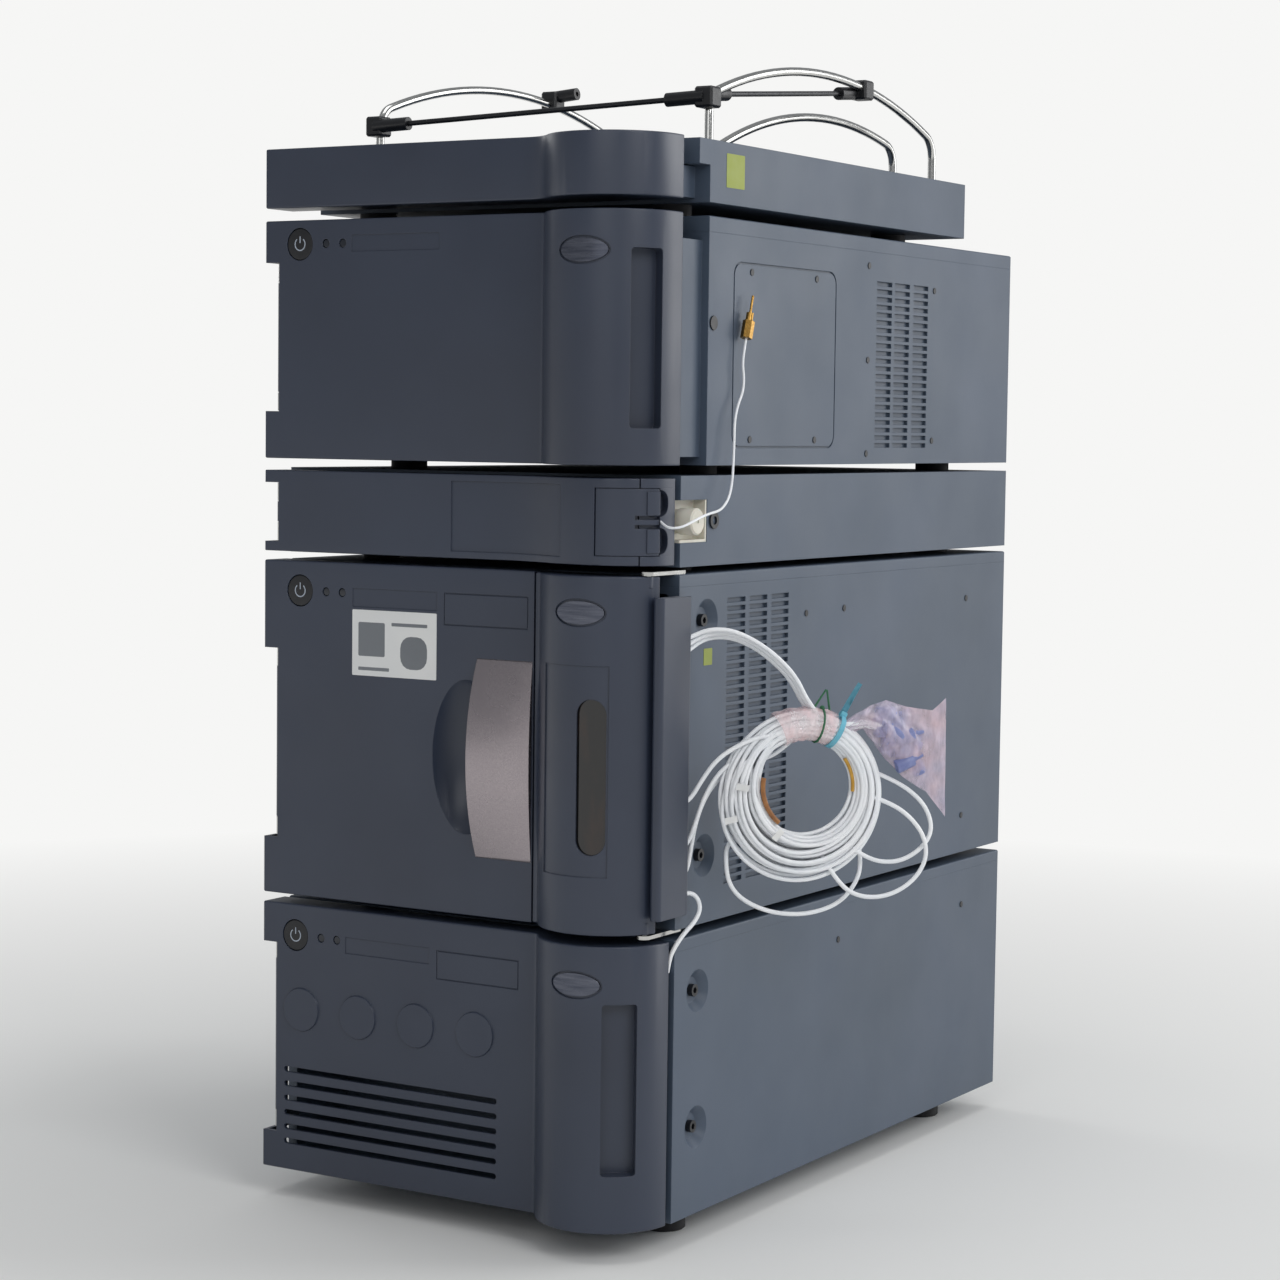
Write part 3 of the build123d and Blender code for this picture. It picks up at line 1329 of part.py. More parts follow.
# ---------- hinges ----------
doors = (
    (pump_notch, casing_front),
    (sampler_notch, casing_front),
    (oven_notch, casing_front),
    (detector_notch, door_front + deep_front_depth + collar_gap),
)
with BuildPart() as hinge_brackets:
    for (low, high), seat in doors:
        for start, end in ((low + knuckle_gap, low + knuckle_length), (high - knuckle_length, high - knuckle_gap)):
            with Locations((hinge_x, hinge_y, (start + end) / 2)):
                Cylinder(knuckle_radius, end - start)
            block((hinge_x - arm_width / 2, hinge_y, start), (hinge_x + arm_width / 2, seat, end))
            with Locations((hinge_x, hinge_y, (start + end) / 2)):
                Cylinder(hinge_pin_radius + hinge_running_clearance, end - start, mode=Mode.SUBTRACT)
    for level, stub in ((sampler_base - pivot_arm_thickness, 1), (sampler_top, -1)):
        with BuildSketch(Plane.XY.offset(level)) as pivot_arm:
            with Locations((side_hinge_x, side_hinge_y)):
                Circle(side_hinge_inset + 2)
            with Locations((side_hinge_x, (side_hinge_y + casing_front + pivot_arm_lap) / 2)):
                Rectangle(2 * side_hinge_inset + 4, casing_front + pivot_arm_lap - side_hinge_y)
        extrude(pivot_arm.sketch, amount=pivot_arm_thickness)
        middle = level + pivot_arm_thickness / 2 + stub * (pivot_arm_thickness + pivot_boss) / 2
        with Locations((side_hinge_x, side_hinge_y, middle)):
            Cylinder(hinge_pin_radius, pivot_boss)
save(hinge_brackets, "hinge_brackets")

with BuildPart() as hinge_pins:
    for (low, high), seat in doors:
        with Locations((hinge_x, hinge_y, (low + high) / 2)):
            Cylinder(hinge_pin_radius, high - low - 2 * knuckle_gap)
save(hinge_pins, "hinge_pins")

# ---------- fasteners and fittings on the casings ----------
dimple_screws = [(64.0, pump_base + 162.5), (64.0, pump_base + 63.5), (70.0, sampler_base + 217.5), (70.0, sampler_base + 49.0)]
flat_screws = [(507.0, pump_base + 165.6), (282.0, pump_base + 168.0)]
flat_screws += [(220.0, sampler_base + 215.5), (282.0, sampler_base + 216.5), (504.0, sampler_base + 214.5), (503.0, sampler_base + 31.5)]
flat_screws += [(314.5, detector_base + level) for level in (153.6, 80.7, 8.1)] + [(431.5, detector_base + level) for level in (139.4, 18.4)]
flat_screws += [(depth, detector_base + level) for depth in (128.0, 228.0) for level in (139.0, 18.5)]
with BuildPart() as side_fixings:
    with BuildSketch(Plane.YZ.offset(half_width - dimple_depth)):
        with Locations(*[(door_front + depth, z) for depth, z in dimple_screws]):
            Circle(1.5 * screw_radius)
            RegularPolygon(screw_radius * 0.8, 6, mode=Mode.SUBTRACT)
    extrude(amount=dimple_depth - 2)
    with BuildSketch(Plane.YZ.offset(half_width)):
        with Locations(*[(door_front + depth, z) for depth, z in flat_screws]):
            RegularPolygon(screw_radius - 0.4, 8)
    extrude(amount=0.6)
    with BuildSketch(Plane.YZ.offset(half_width - plug_length)):
        with Locations((door_front + 73, detector_base + 100.6)):
            Circle(plug_radius)
    extrude(amount=plug_length + 1)
    with BuildSketch(Plane.YZ.offset(half_width)):
        with Locations((door_front + 77, knob_z)):
            Circle(plug_radius + 1)
            Circle(plug_radius - 2, mode=Mode.SUBTRACT)
    extrude(amount=1.5)
save(side_fixings, "side_fixings")

with BuildPart() as rear_inlets:
    with BuildSketch(Plane.XZ.offset(-casing_back)) as inlet_faces:
        with Locations(*[(inlet_x, level + 36) for level in (pump_base, sampler_base, detector_base)], (inlet_x, oven_base + 32)):
            RectangleRounded(inlet_width, inlet_height, 4)
            RectangleRounded(inlet_width - 22, inlet_height - 11, 2, mode=Mode.SUBTRACT)
    extrude(amount=-inlet_proud)
save(rear_inlets, "rear_inlets")

# ---------- tubing and capillary ----------
coil_normal = Vector(0.727, -0.686, 0)
coil_across = Vector(0.686, 0.727, 0)
coil_centre = Vector(235.0, -180.0, 328.0)


def coil_plane(across=0.0, up=0.0, out=0.0):
    """Plane of the tubing coil, moved along its own directions."""
    return Plane(coil_centre + coil_across * across + Vector(0, 0, up) + coil_normal * out, x_dir=coil_across, z_dir=coil_normal)


# Routes of the free tubes, as control points in the stack's frame.
line_a_route = [
    (174.6, -246.0, 438.0),
    (178.3, -236.7, 441.8),
    (186.6, -229.9, 445.5),
    (197.6, -221.4, 445.2),
    (209.6, -211.4, 439.0),
    (221.6, -199.4, 428.0),
    (232.6, -187.4, 412.0),
    (239.6, -180.4, 392.0),
]
line_b_route = [
    (174.6, -246.0, 433.0),
    (176.5, -235.0, 437.5),
    (183.0, -226.5, 442.0),
    (194.0, -218.0, 442.5),
    (206.0, -208.0, 437.0),
    (218.0, -196.0, 426.0),
    (229.0, -184.0, 410.0),
    (236.0, -177.0, 390.0),
]
line_c_route = [
    (174.6, -246.0, 428.0),
    (174.7, -233.3, 433.2),
    (179.4, -223.1, 438.5),
    (190.4, -214.6, 439.8),
    (202.4, -204.6, 435.0),
    (214.4, -192.6, 424.0),
    (225.4, -180.6, 408.0),
    (232.4, -173.6, 388.0),
]
line_d_route = [
    (174.6, -246.0, 322.0),
    (178.5, -240.4, 325.6),
    (185.1, -236.8, 339.2),
    (193.1, -230.3, 353.8),
    (204.1, -221.3, 363.4),
    (216.1, -209.8, 369.9),
    (227.1, -198.8, 370.4),
]
line_e_route = [
    (174.6, -246.0, 290.0),
    (176.0, -239.0, 294.0),
    (179.0, -234.0, 308.0),
    (184.0, -230.0, 328.0),
    (192.5, -222.5, 346.0),
    (204.0, -211.0, 356.0),
    (216.0, -198.5, 360.0),
]
line_f_route = [
    (174.6, -246.0, 270.0),
    (175.5, -239.0, 274.0),
    (174.3, -232.4, 288.0),
    (176.3, -228.9, 310.0),
    (182.3, -221.9, 331.0),
    (192.3, -211.4, 345.0),
    (203.8, -198.9, 352.0),
    (214.8, -186.9, 353.0),
]
drain_line_route = [
    (174.6, -246.0, 258.0),
    (176.5, -238.0, 259.5),
    (180.5, -232.5, 255.5),
    (182.5, -231.0, 247.0),
    (181.0, -236.0, 238.5),
    (177.0, -244.0, 231.0),
    (174.0, -250.3, 223.0),
    (169.5, -251.8, 213.5),
    (167.8, -251.5, 203.0),
]
capillary_route = [
    (168.6, -270.0, 521.5),
    (174.0, -273.5, 518.8),
    (180.0, -274.5, 517.2),
    (185.5, -270.0, 518.0),
    (188.0, -260.0, 521.5),
    (188.3, -247.0, 525.0),
    (187.5, -233.0, 527.2),
    (186.0, -221.0, 528.2),
    (184.5, -211.0, 530.5),
    (183.0, -200.0, 537.0),
    (181.5, -193.0, 548.0),
    (180.0, -189.0, 563.0),
    (179.0, -186.5, 579.0),
    (178.5, -185.5, 592.0),
    (178.0, -180.5, 603.0),
    (177.7, -173.0, 612.0),
    (177.6, -171.0, 622.0),
    (177.6, -173.5, 632.0),
    (177.6, -172.0, 641.0),
    (177.6, -169.0, 651.0),
]
loop_low_route = [
    (205.5, -206.9, 309.4),
    (192.4, -212.2, 294.0),
    (192.4, -213.7, 278.0),
    (194.9, -212.7, 263.0),
    (201.9, -204.7, 251.0),
    (216.9, -189.2, 241.5),
    (234.9, -170.2, 239.5),
    (250.9, -153.2, 246.0),
    (259.9, -143.2, 260.0),
    (263.4, -140.2, 276.0),
    (260.9, -142.2, 292.0),
]
loop_right_a_route = [
    (256.9, -162.6, 295.1),
    (268.5, -146.0, 280.0),
    (284.0, -129.0, 276.0),
    (296.5, -115.5, 284.0),
    (303.5, -107.5, 298.0),
    (300.0, -110.0, 315.0),
    (291.0, -118.5, 328.0),
    (279.0, -131.5, 338.0),
    (268.0, -142.5, 344.0),
]
loop_right_b_route = [
    (246.2, -171.0, 284.3),
    (257.4, -165.6, 263.0),
    (269.4, -152.1, 252.5),
    (284.4, -136.1, 253.5),
    (296.9, -122.6, 264.0),
    (303.4, -115.6, 280.0),
    (301.4, -117.6, 297.0),
    (292.9, -126.1, 311.5),
    (282.4, -137.1, 321.0),
    (272.4, -146.6, 325.5),
]


def bend_radii(route):
    """Largest tangent arc that fits each corner of a route, for 0.45 of its shorter run."""
    points = [Vector(*point) for point in route]
    radii = []
    for before, corner, after in zip(points, points[1:], points[2:]):
        turn = (corner - before).get_angle(after - corner)
        shorter = min((corner - before).length, (after - corner).length)
        radii.append(0.45 * shorter / tan(radians(turn / 2)))
    return radii


def tube(name, route, diameter):
    """Plain round tube along a route, straight runs joined by tangent arcs."""
    radii = bend_radii(route)
    print(name, "tightest bend", round(min(radii), 1), "mm")
    with BuildPart() as cord:
        with BuildLine() as path:
            FilletPolyline(*route, radius=radii)
        with BuildSketch(Plane(origin=route[0], z_dir=Vector(*route[1]) - Vector(*route[0]))):
            Circle(diameter / 2)
        sweep(path=path.wire())
    return cord.part


with BuildPart(coil_plane()) as tubing_coil:
    Torus(coil_radius, coil_bundle)
save(tubing_coil, "tubing_coil")

def tubes(**routes):
    """Several lines of the same tubing, each flush with the coil and with the cover it leaves."""
    with BuildPart() as lines:
        for name, route in routes.items():
            line = tube(name, route, line_diameter) - tubing_coil.part - chase_cover.part
            add(line.solids().sort_by(SortBy.VOLUME)[-1])
    return lines.part


with BuildPart() as upper_lines:
    add(tubes(line_a=line_a_route, line_b=line_b_route, line_c=line_c_route))
save(upper_lines, "upper_lines")

with BuildPart() as lower_lines:
    add(tubes(line_d=line_d_route, line_e=line_e_route, line_f=line_f_route))
save(lower_lines, "lower_lines")

with BuildPart() as loose_turns:
    add(tubes(loop_low=loop_low_route, loop_right_a=loop_right_a_route, loop_right_b=loop_right_b_route))
save(loose_turns, "loose_turns")

with BuildPart() as drain_line:
    add(tubes(drain_line=drain_line_route))
save(drain_line, "drain_line")

with BuildPart() as capillary:
    add(tube("capillary", capillary_route, capillary_diameter))
    add(oven_end_cap.part, mode=Mode.SUBTRACT)
save(capillary, "capillary")

fitting_way = Vector(*capillary_route[-1]) - Vector(*capillary_route[-2])
fitting_start = Plane(origin=capillary_route[-1], z_dir=fitting_way)
with BuildPart() as capillary_fitting:
    with BuildSketch(fitting_start):
        RegularPolygon(fitting_radius, 6)
    extrude(amount=fitting_nut)
    with BuildSketch(fitting_start.offset(fitting_nut)):
        Circle(fitting_radius * 0.62)
    extrude(amount=fitting_thread)
    with BuildSketch(fitting_start.offset(fitting_nut + fitting_thread)):
        Circle(capillary_diameter / 2)
    extrude(amount=fitting_tip)
save(capillary_fitting, "capillary_fitting")

tie_around = Vector(-sin(radians(tie_angle)), 0, 0)
tie_centre = coil_centre + coil_across * coil_radius * cos(radians(tie_angle)) + Vector(0, 0, coil_radius * sin(radians(tie_angle)))
tie_way = coil_across * -sin(radians(tie_angle)) + Vector(0, 0, cos(radians(tie_angle)))
with BuildPart(Plane(origin=tie_centre, z_dir=tie_way)) as tube_tie:
    Torus(coil_bundle + tie_gap + tie_radius, tie_radius)
save(tube_tie, "tube_tie")

bag_outline = [(27, 43), (36, 58), (52, 61), (109, 65), (110, -25), (97, 1), (78, 12), (54, 30), (38, 34)]
with BuildPart() as filter_bag:
    with BuildSketch(coil_plane()):
        with BuildLine():
            Polyline(*bag_outline, close=True)
        make_face()
    extrude(amount=bag_thickness / 2, both=True, taper=bag_taper)
    add(tubing_coil.part, mode=Mode.SUBTRACT)
save(filter_bag, "filter_bag")
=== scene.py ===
"""Stacked liquid chromatography system: finishes, tubing, bag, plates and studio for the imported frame."""

from __future__ import annotations

import json
import logging
import random
from dataclasses import dataclass, field
from enum import Enum
from math import cos, pi, radians, sin, tau
from typing import Iterable, Sequence

import bmesh
import bpy
from mathutils import Matrix, Vector

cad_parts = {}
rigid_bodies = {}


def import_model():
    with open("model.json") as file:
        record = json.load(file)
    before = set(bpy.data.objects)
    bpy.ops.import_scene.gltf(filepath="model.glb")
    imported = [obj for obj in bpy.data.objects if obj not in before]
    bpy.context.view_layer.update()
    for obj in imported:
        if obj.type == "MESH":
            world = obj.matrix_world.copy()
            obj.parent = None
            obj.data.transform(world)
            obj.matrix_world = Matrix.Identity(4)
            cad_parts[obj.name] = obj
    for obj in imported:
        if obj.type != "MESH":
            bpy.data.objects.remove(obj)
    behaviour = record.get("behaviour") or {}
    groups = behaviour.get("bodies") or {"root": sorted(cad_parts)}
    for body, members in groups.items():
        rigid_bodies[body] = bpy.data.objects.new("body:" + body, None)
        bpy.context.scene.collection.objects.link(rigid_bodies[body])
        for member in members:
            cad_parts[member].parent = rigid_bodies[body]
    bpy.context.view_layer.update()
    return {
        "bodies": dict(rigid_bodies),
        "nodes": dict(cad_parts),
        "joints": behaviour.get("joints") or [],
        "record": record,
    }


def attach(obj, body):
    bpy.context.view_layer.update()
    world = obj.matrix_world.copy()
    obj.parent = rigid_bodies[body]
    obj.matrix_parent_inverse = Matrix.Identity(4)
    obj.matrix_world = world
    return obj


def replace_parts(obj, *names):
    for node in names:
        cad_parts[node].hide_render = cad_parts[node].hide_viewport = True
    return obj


LOG = logging.getLogger("chromatography_stack")

MM = 0.001
ROOT_BODY = "cabinet"
SHARP_ANGLE = 35.0  # degrees between faces, above which an edge stays hard
Point = tuple[float, float, float]


# ---------------------------------------------------------------- small tools
def linear(colour: str, alpha: float = 1.0) -> tuple[float, float, float, float]:
    """Turns an sRGB hex colour into linear light.

    Args:
        colour: six hex digits.
        alpha: fourth number of the result.

    Returns:
        Red, green, blue and alpha.
    """
    parts = [int(colour[i : i + 2], 16) / 255 for i in (0, 2, 4)]
    parts = [c / 12.92 if c <= 0.04045 else ((c + 0.055) / 1.055) ** 2.4 for c in parts]
    return (parts[0], parts[1], parts[2], alpha)


def add_node(
    tree: bpy.types.NodeTree,
    kind: str,
    settings: dict[str, object] | None = None,
    inputs: dict[str | int, object] | None = None,
) -> bpy.types.Node:
    """Adds a node with its settings and links.

    Args:
        tree: the material's node tree.
        kind: the node's type name.
        settings: properties of the node.
        inputs: for each input, its value or the output that feeds it.

    Returns:
        The new node.
    """
    made = tree.nodes.new(kind)
    for name, value in (settings or {}).items():
        setattr(made, name, value)
    for name, value in (inputs or {}).items():
        if isinstance(value, bpy.types.NodeSocket):
            tree.links.new(value, made.inputs[name])
        else:
            made.inputs[name].default_value = value
    return made


def metres(point: Sequence[float]) -> Vector:
    """A place in millimetres, as a vector in metres."""
    return Vector(point) * MM


def keep(shape: bmesh.types.BMesh, name: str, finish: "Finish", body: str) -> bpy.types.Object:
    """Turns a finished bmesh into a piece that rides on a body.

    Args:
        shape: the mesh in the making, in metres in the row frame. It is freed.
        name: the piece's name.
        finish: what it is made of.
        body: the body that it rides on.

    Returns:
        The new object.
    """
    bmesh.ops.remove_doubles(shape, verts=shape.verts, dist=1e-7)
    bmesh.ops.recalc_face_normals(shape, faces=shape.faces)
    mesh = bpy.data.meshes.new(name)
    shape.to_mesh(mesh)
    shape.free()
    mesh.shade_smooth()
    mesh.set_sharp_from_angle(angle=radians(SHARP_ANGLE))
    piece = bpy.data.objects.new(name, mesh)
    bpy.context.scene.collection.objects.link(piece)
    mesh.materials.append(finish.material())
    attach(piece, body)
    LOG.info("%s rides on %s", name, body)
    return piece


def spin_ring(
    shape: bmesh.types.BMesh, section: list[bmesh.types.BMVert | bmesh.types.BMEdge], steps: int
) -> None:
    """Spins a section once round the z axis."""
    bmesh.ops.spin(
        shape, geom=section, axis=(0, 0, 1), cent=(0, 0, 0), angle=tau, steps=steps, use_merge=True
    )


def rotate(shape: bmesh.types.BMesh, verts: list[bmesh.types.BMVert], angle: float, axis: str) -> None:
    """Turns some vertices round an axis through the middle, by radians."""
    bmesh.ops.rotate(shape, cent=(0, 0, 0), matrix=Matrix.Rotation(angle, 3, axis), verts=verts)


def add_cone(
    shape: bmesh.types.BMesh, sides: int, low: float, high: float, length: float
) -> list[bmesh.types.BMVert]:
    """Adds a closed cone along z, with its end radii and length in millimetres."""
    made = bmesh.ops.create_cone(
        shape, cap_ends=True, segments=sides, radius1=low * MM, radius2=high * MM, depth=length * MM
    )
    return made["verts"]


def bridge(shape: bmesh.types.BMesh, rings: Sequence[Sequence[bmesh.types.BMVert]]) -> None:
    """Joins rings of vertices with faces, each to the next."""
    loops = [list({edge for vertex in ring for edge in vertex.link_edges}) for ring in rings]
    for low, high in zip(loops, loops[1:]):
        bmesh.ops.bridge_loops(shape, edges=low + high)


def stand_off(shape: bmesh.types.BMesh, rise: float, axes: Matrix, place: Vector) -> None:
    """Gives flat faces their thickness in millimetres, then turns and puts them where they lie."""
    pushed = bmesh.ops.extrude_face_region(shape, geom=shape.faces[:])["geom"]
    lifted = [item for item in pushed if isinstance(item, bmesh.types.BMVert)]
    bmesh.ops.translate(shape, vec=(0, 0, rise * MM), verts=lifted)
    bmesh.ops.transform(shape, matrix=Matrix.Translation(place) @ axes.to_4x4(), verts=shape.verts)


# ---------------------------------------------------------------- finishes
@dataclass(frozen=True)
class Pattern:
    """A noise pattern with a real feature size.

    Attributes:
        size_mm: how far apart its features are.
        low: its effect where the noise is dark.
        high: its effect where the noise is bright.
        detail: octaves of finer noise in it.
        stretch: how many times longer than wide its features are along each axis.
    """

    size_mm: float
    low: float
    high: float
    detail: float = 3.0
    stretch: Point = (1.0, 1.0, 1.0)

    def value(self, tree: bpy.types.NodeTree, coordinates: bpy.types.NodeSocket) -> bpy.types.NodeSocket:
        """Adds the pattern to a tree and returns its output, from low to high."""
        scale = tuple(1 / s for s in self.stretch)
        mapped = add_node(tree, "ShaderNodeMapping", inputs={"Vector": coordinates, "Scale": scale})
        noise = add_node(
            tree,
            "ShaderNodeTexNoise",
            inputs={"Vector": mapped.outputs[0], "Scale": 1 / (self.size_mm * MM), "Detail": self.detail},
        )
        spread = add_node(
            tree,
            "ShaderNodeMapRange",
            inputs={
                "Value": noise.outputs[0],
                "From Min": 0.3,
                "From Max": 0.7,
                "To Min": self.low,
                "To Max": self.high,
            },
        )
        return spread.outputs[0]


@dataclass(frozen=True)
class Finish:
    """One material, with the surface that its making gives it.

    Attributes:
        name: its common name and how its surface was made.
        slot: the record's material slot that it stands for. Not used.
        colour: its main colour, sRGB hex.
        shade: a second colour that it drifts to, or None.
        drift: where the second colour shows.
        gloss: its roughness, where it varies.
        roughness: its roughness, where it doesn't vary.
        grain: height of its texture in millimetres, as a pattern.
        edge_mm: how much its sharp edges are rounded in shading.
        sockets: numbers that are the same all over it.
    """

    name: str
    slot: str
    colour: str
    shade: str | None = None
    drift: Pattern = Pattern(80.0, 0.0, 1.0)
    gloss: Pattern | None = None
    roughness: float = 0.5
    grain: Pattern | None = None
    edge_mm: float = 0.0
    sockets: tuple[tuple[str, float], ...] = ()

    def material(self) -> bpy.types.Material:
        """Makes the material once and returns it each time."""
        found = bpy.data.materials.get(self.name)
        return found or self._build()

    def _build(self) -> bpy.types.Material:
        """Builds the node tree."""
        made = bpy.data.materials.new(self.name)
        made.use_nodes = True
        tree = made.node_tree
        shader = tree.nodes["Principled BSDF"]
        shader.inputs["Base Color"].default_value = linear(self.colour)
        shader.inputs["Roughness"].default_value = self.roughness
        for socket, value in self.sockets:
            shader.inputs[socket].default_value = value
        coordinates = add_node(tree, "ShaderNodeTexCoord").outputs["Object"]
        if self.shade:
            mixed = add_node(
                tree,
                "ShaderNodeMix",
                {"data_type": "RGBA"},
                {0: self.drift.value(tree, coordinates), 6: linear(self.colour), 7: linear(self.shade)},
            )
            tree.links.new(mixed.outputs[2], shader.inputs["Base Color"])
        if self.gloss:
            tree.links.new(self.gloss.value(tree, coordinates), shader.inputs["Roughness"])
        normal = None
        if self.edge_mm:
            rounded = add_node(tree, "ShaderNodeBevel", {"samples": 4}, {"Radius": self.edge_mm * MM})
            normal = rounded.outputs[0]
        if self.grain:
            inputs: dict[str | int, object] = {
                "Height": self.grain.value(tree, coordinates),
                "Distance": MM,
                "Strength": 1.0,
            }
            if normal:
                inputs["Normal"] = normal
            normal = add_node(tree, "ShaderNodeBump", inputs=inputs).outputs[0]
        if normal:
            tree.links.new(normal, shader.inputs["Normal"])
        self.extend(tree, shader, coordinates)
        return made

    def extend(
        self, tree: bpy.types.NodeTree, shader: bpy.types.Node, coordinates: bpy.types.NodeSocket
    ) -> None:
        """A finish with more to it adds its own nodes here."""


# Polycarbonate blend, moulded in a spark-eroded tool: a dark blue-grey with a silky, even sheen.
# The grit is about 0.15 mm on the tool; it is drawn at 0.9 mm so that it shows.
DOOR = Finish(
    "moulded_polycarbonate_blend",
    "door_plastic",
    "2D3444",
    shade="323A4B",
    drift=Pattern(120.0, 0.0, 1.0),
    gloss=Pattern(45.0, 0.33, 0.40),
    grain=Pattern(0.9, 0.0, 0.012, detail=1.0),
    edge_mm=0.9,
    sockets=(("IOR", 1.55),),
)
# Steel sheet under powder coat: fine orange peel, slightly lighter than the doors in the light.
CABINET = Finish(
    "powder_coated_steel",
    "cabinet_paint",
    "434F5E",
    shade="4A5667",
    drift=Pattern(160.0, 0.0, 1.0),
    gloss=Pattern(60.0, 0.40, 0.50),
    grain=Pattern(1.4, 0.0, 0.014, detail=2.0),
    edge_mm=0.7,
    sockets=(("IOR", 1.5),),
)
# Acetal moulding, semi-gloss black.
BLACK = Finish(
    "moulded_black_acetal",
    "black_plastic",
    "141518",
    shade="1B1C20",
    gloss=Pattern(9.0, 0.30, 0.42),
    grain=Pattern(0.8, 0.0, 0.008),
    edge_mm=0.5,
    sockets=(("IOR", 1.48),),
)
# Smoked acrylic over an unlit lamp.
LENS = Finish(
    "smoked_acrylic_lens",
    "indicator_lens",
    "22262E",
    roughness=0.18,
    gloss=Pattern(4.0, 0.12, 0.24),
    sockets=(("IOR", 1.49),),
)
# Thin anodised plate with a brushed grain along its length.
BADGE = Finish(
    "brushed_anodised_plate",
    "badge_metal",
    "6A6D78",
    shade="4E525E",
    drift=Pattern(2.2, 0.0, 1.0, stretch=(12.0, 12.0, 1.0)),
    gloss=Pattern(0.8, 0.22, 0.40, stretch=(18.0, 18.0, 1.0)),
    edge_mm=0.4,
    sockets=(("Metallic", 1.0),),
)
# Warm silver paint with fine aluminium flake on a moulded handle.
SILVER = Finish(
    "satin_metallic_paint",
    "satin_silver",
    "A79EA1",
    shade="968E92",
    drift=Pattern(0.9, 0.0, 1.0),
    gloss=Pattern(30.0, 0.24, 0.31),
    edge_mm=0.8,
    sockets=(("Metallic", 0.9), ("Coat Weight", 0.25), ("Coat Roughness", 0.2)),
)
# Smoked polycarbonate pane.
WINDOW = Finish(
    "smoked_polycarbonate_pane",
    "smoked_window",
    "0E0C0C",
    shade="2B1A10",
    drift=Pattern(14.0, -1.2, 1.0, stretch=(1.0, 1.0, 3.5)),
    roughness=0.08,
    gloss=Pattern(20.0, 0.05, 0.12),
    sockets=(("IOR", 1.58), ("Transmission Weight", 0.2)),
)
# Drawn and polished stainless tube and bar.
STEEL = Finish(
    "polished_stainless_steel",
    "polished_steel",
    "C9C9C6",
    shade="BDBDBB",
    drift=Pattern(25.0, 0.0, 1.0),
    gloss=Pattern(1.2, 0.12, 0.22, stretch=(1.0, 8.0, 1.0)),
    sockets=(("Metallic", 1.0),),
)
# Steel rod with a black coating, rubbed a little brighter along it.
DARK_ROD = Finish(
    "black_coated_steel_rod",
    "dark_steel",
    "2A2B2E",
    shade="3A3B3E",
    drift=Pattern(6.0, 0.0, 1.0, stretch=(10.0, 1.0, 1.0)),
    gloss=Pattern(5.0, 0.25, 0.38),
    sockets=(("Metallic", 0.6),),
)
# Off-white acetal and glass-filled mouldings.
PALE = Finish(
    "moulded_off_white_acetal",
    "light_plastic",
    "D9D5C8",
    shade="CFCBBE",
    drift=Pattern(12.0, 0.0, 1.0),
    gloss=Pattern(6.0, 0.32, 0.45),
    grain=Pattern(0.9, 0.0, 0.008),
    edge_mm=0.4,
    sockets=(("IOR", 1.5), ("Subsurface Weight", 0.06), ("Subsurface Scale", 0.002)),
)
GLASS = Finish(
    "borosilicate_glass_barrel",
    "clear_glass",
    "E6EDEE",
    roughness=0.02,
    gloss=Pattern(9.0, 0.01, 0.05),
    sockets=(("IOR", 1.47), ("Transmission Weight", 0.95)),
)
RUBBER = Finish(
    "moulded_black_rubber",
    "bench_rubber",
    "17171A",
    shade="202023",
    gloss=Pattern(6.0, 0.62, 0.78),
    grain=Pattern(1.1, 0.0, 0.02),
    edge_mm=0.8,
)
# Extruded fluoropolymer tube: milky white, with a waxy gloss.
PTFE = Finish(
    "extruded_fluoropolymer_tube",
    "tubing",
    "F6F7F9",
    shade="ECEFF3",
    drift=Pattern(26.0, 0.0, 1.0),
    gloss=Pattern(14.0, 0.26, 0.38),
    sockets=(("IOR", 1.35), ("Sheen Weight", 0.25), ("Sheen Roughness", 0.4)),
)
NYLON_BLUE = Finish(
    "moulded_nylon_tie",
    "tie_plastic",
    "6FB9CE",
    shade="62AEC5",
    gloss=Pattern(3.0, 0.28, 0.42),
    sockets=(("IOR", 1.53), ("Subsurface Weight", 0.1), ("Subsurface Scale", 0.001)),
)
TWIST_GREEN = Finish(
    "paper_covered_wire",
    "tie_plastic",
    "1E5B3A",
    shade="2C6D48",
    drift=Pattern(2.0, 0.0, 1.0),
    gloss=Pattern(2.0, 0.45, 0.65),
)
MARKER_BROWN = Finish(
    "shrunk_brown_sleeve",
    "tubing",
    "8A5A32",
    shade="A56F3A",
    drift=Pattern(5.0, 0.0, 1.0),
    gloss=Pattern(4.0, 0.35, 0.5),
)
MARKER_YELLOW = Finish(
    "shrunk_amber_sleeve",
    "tubing",
    "B98A2E",
    shade="D0A040",
    drift=Pattern(5.0, 0.0, 1.0),
    gloss=Pattern(4.0, 0.35, 0.5),
)
TURNED_BRASS = Finish(
    "turned_brass",
    "fitting_brass",
    "B08A4C",
    shade="9A7538",
    drift=Pattern(1.5, 0.0, 1.0),
    gloss=Pattern(0.6, 0.2, 0.36),
    edge_mm=0.2,
    sockets=(("Metallic", 1.0),),
)
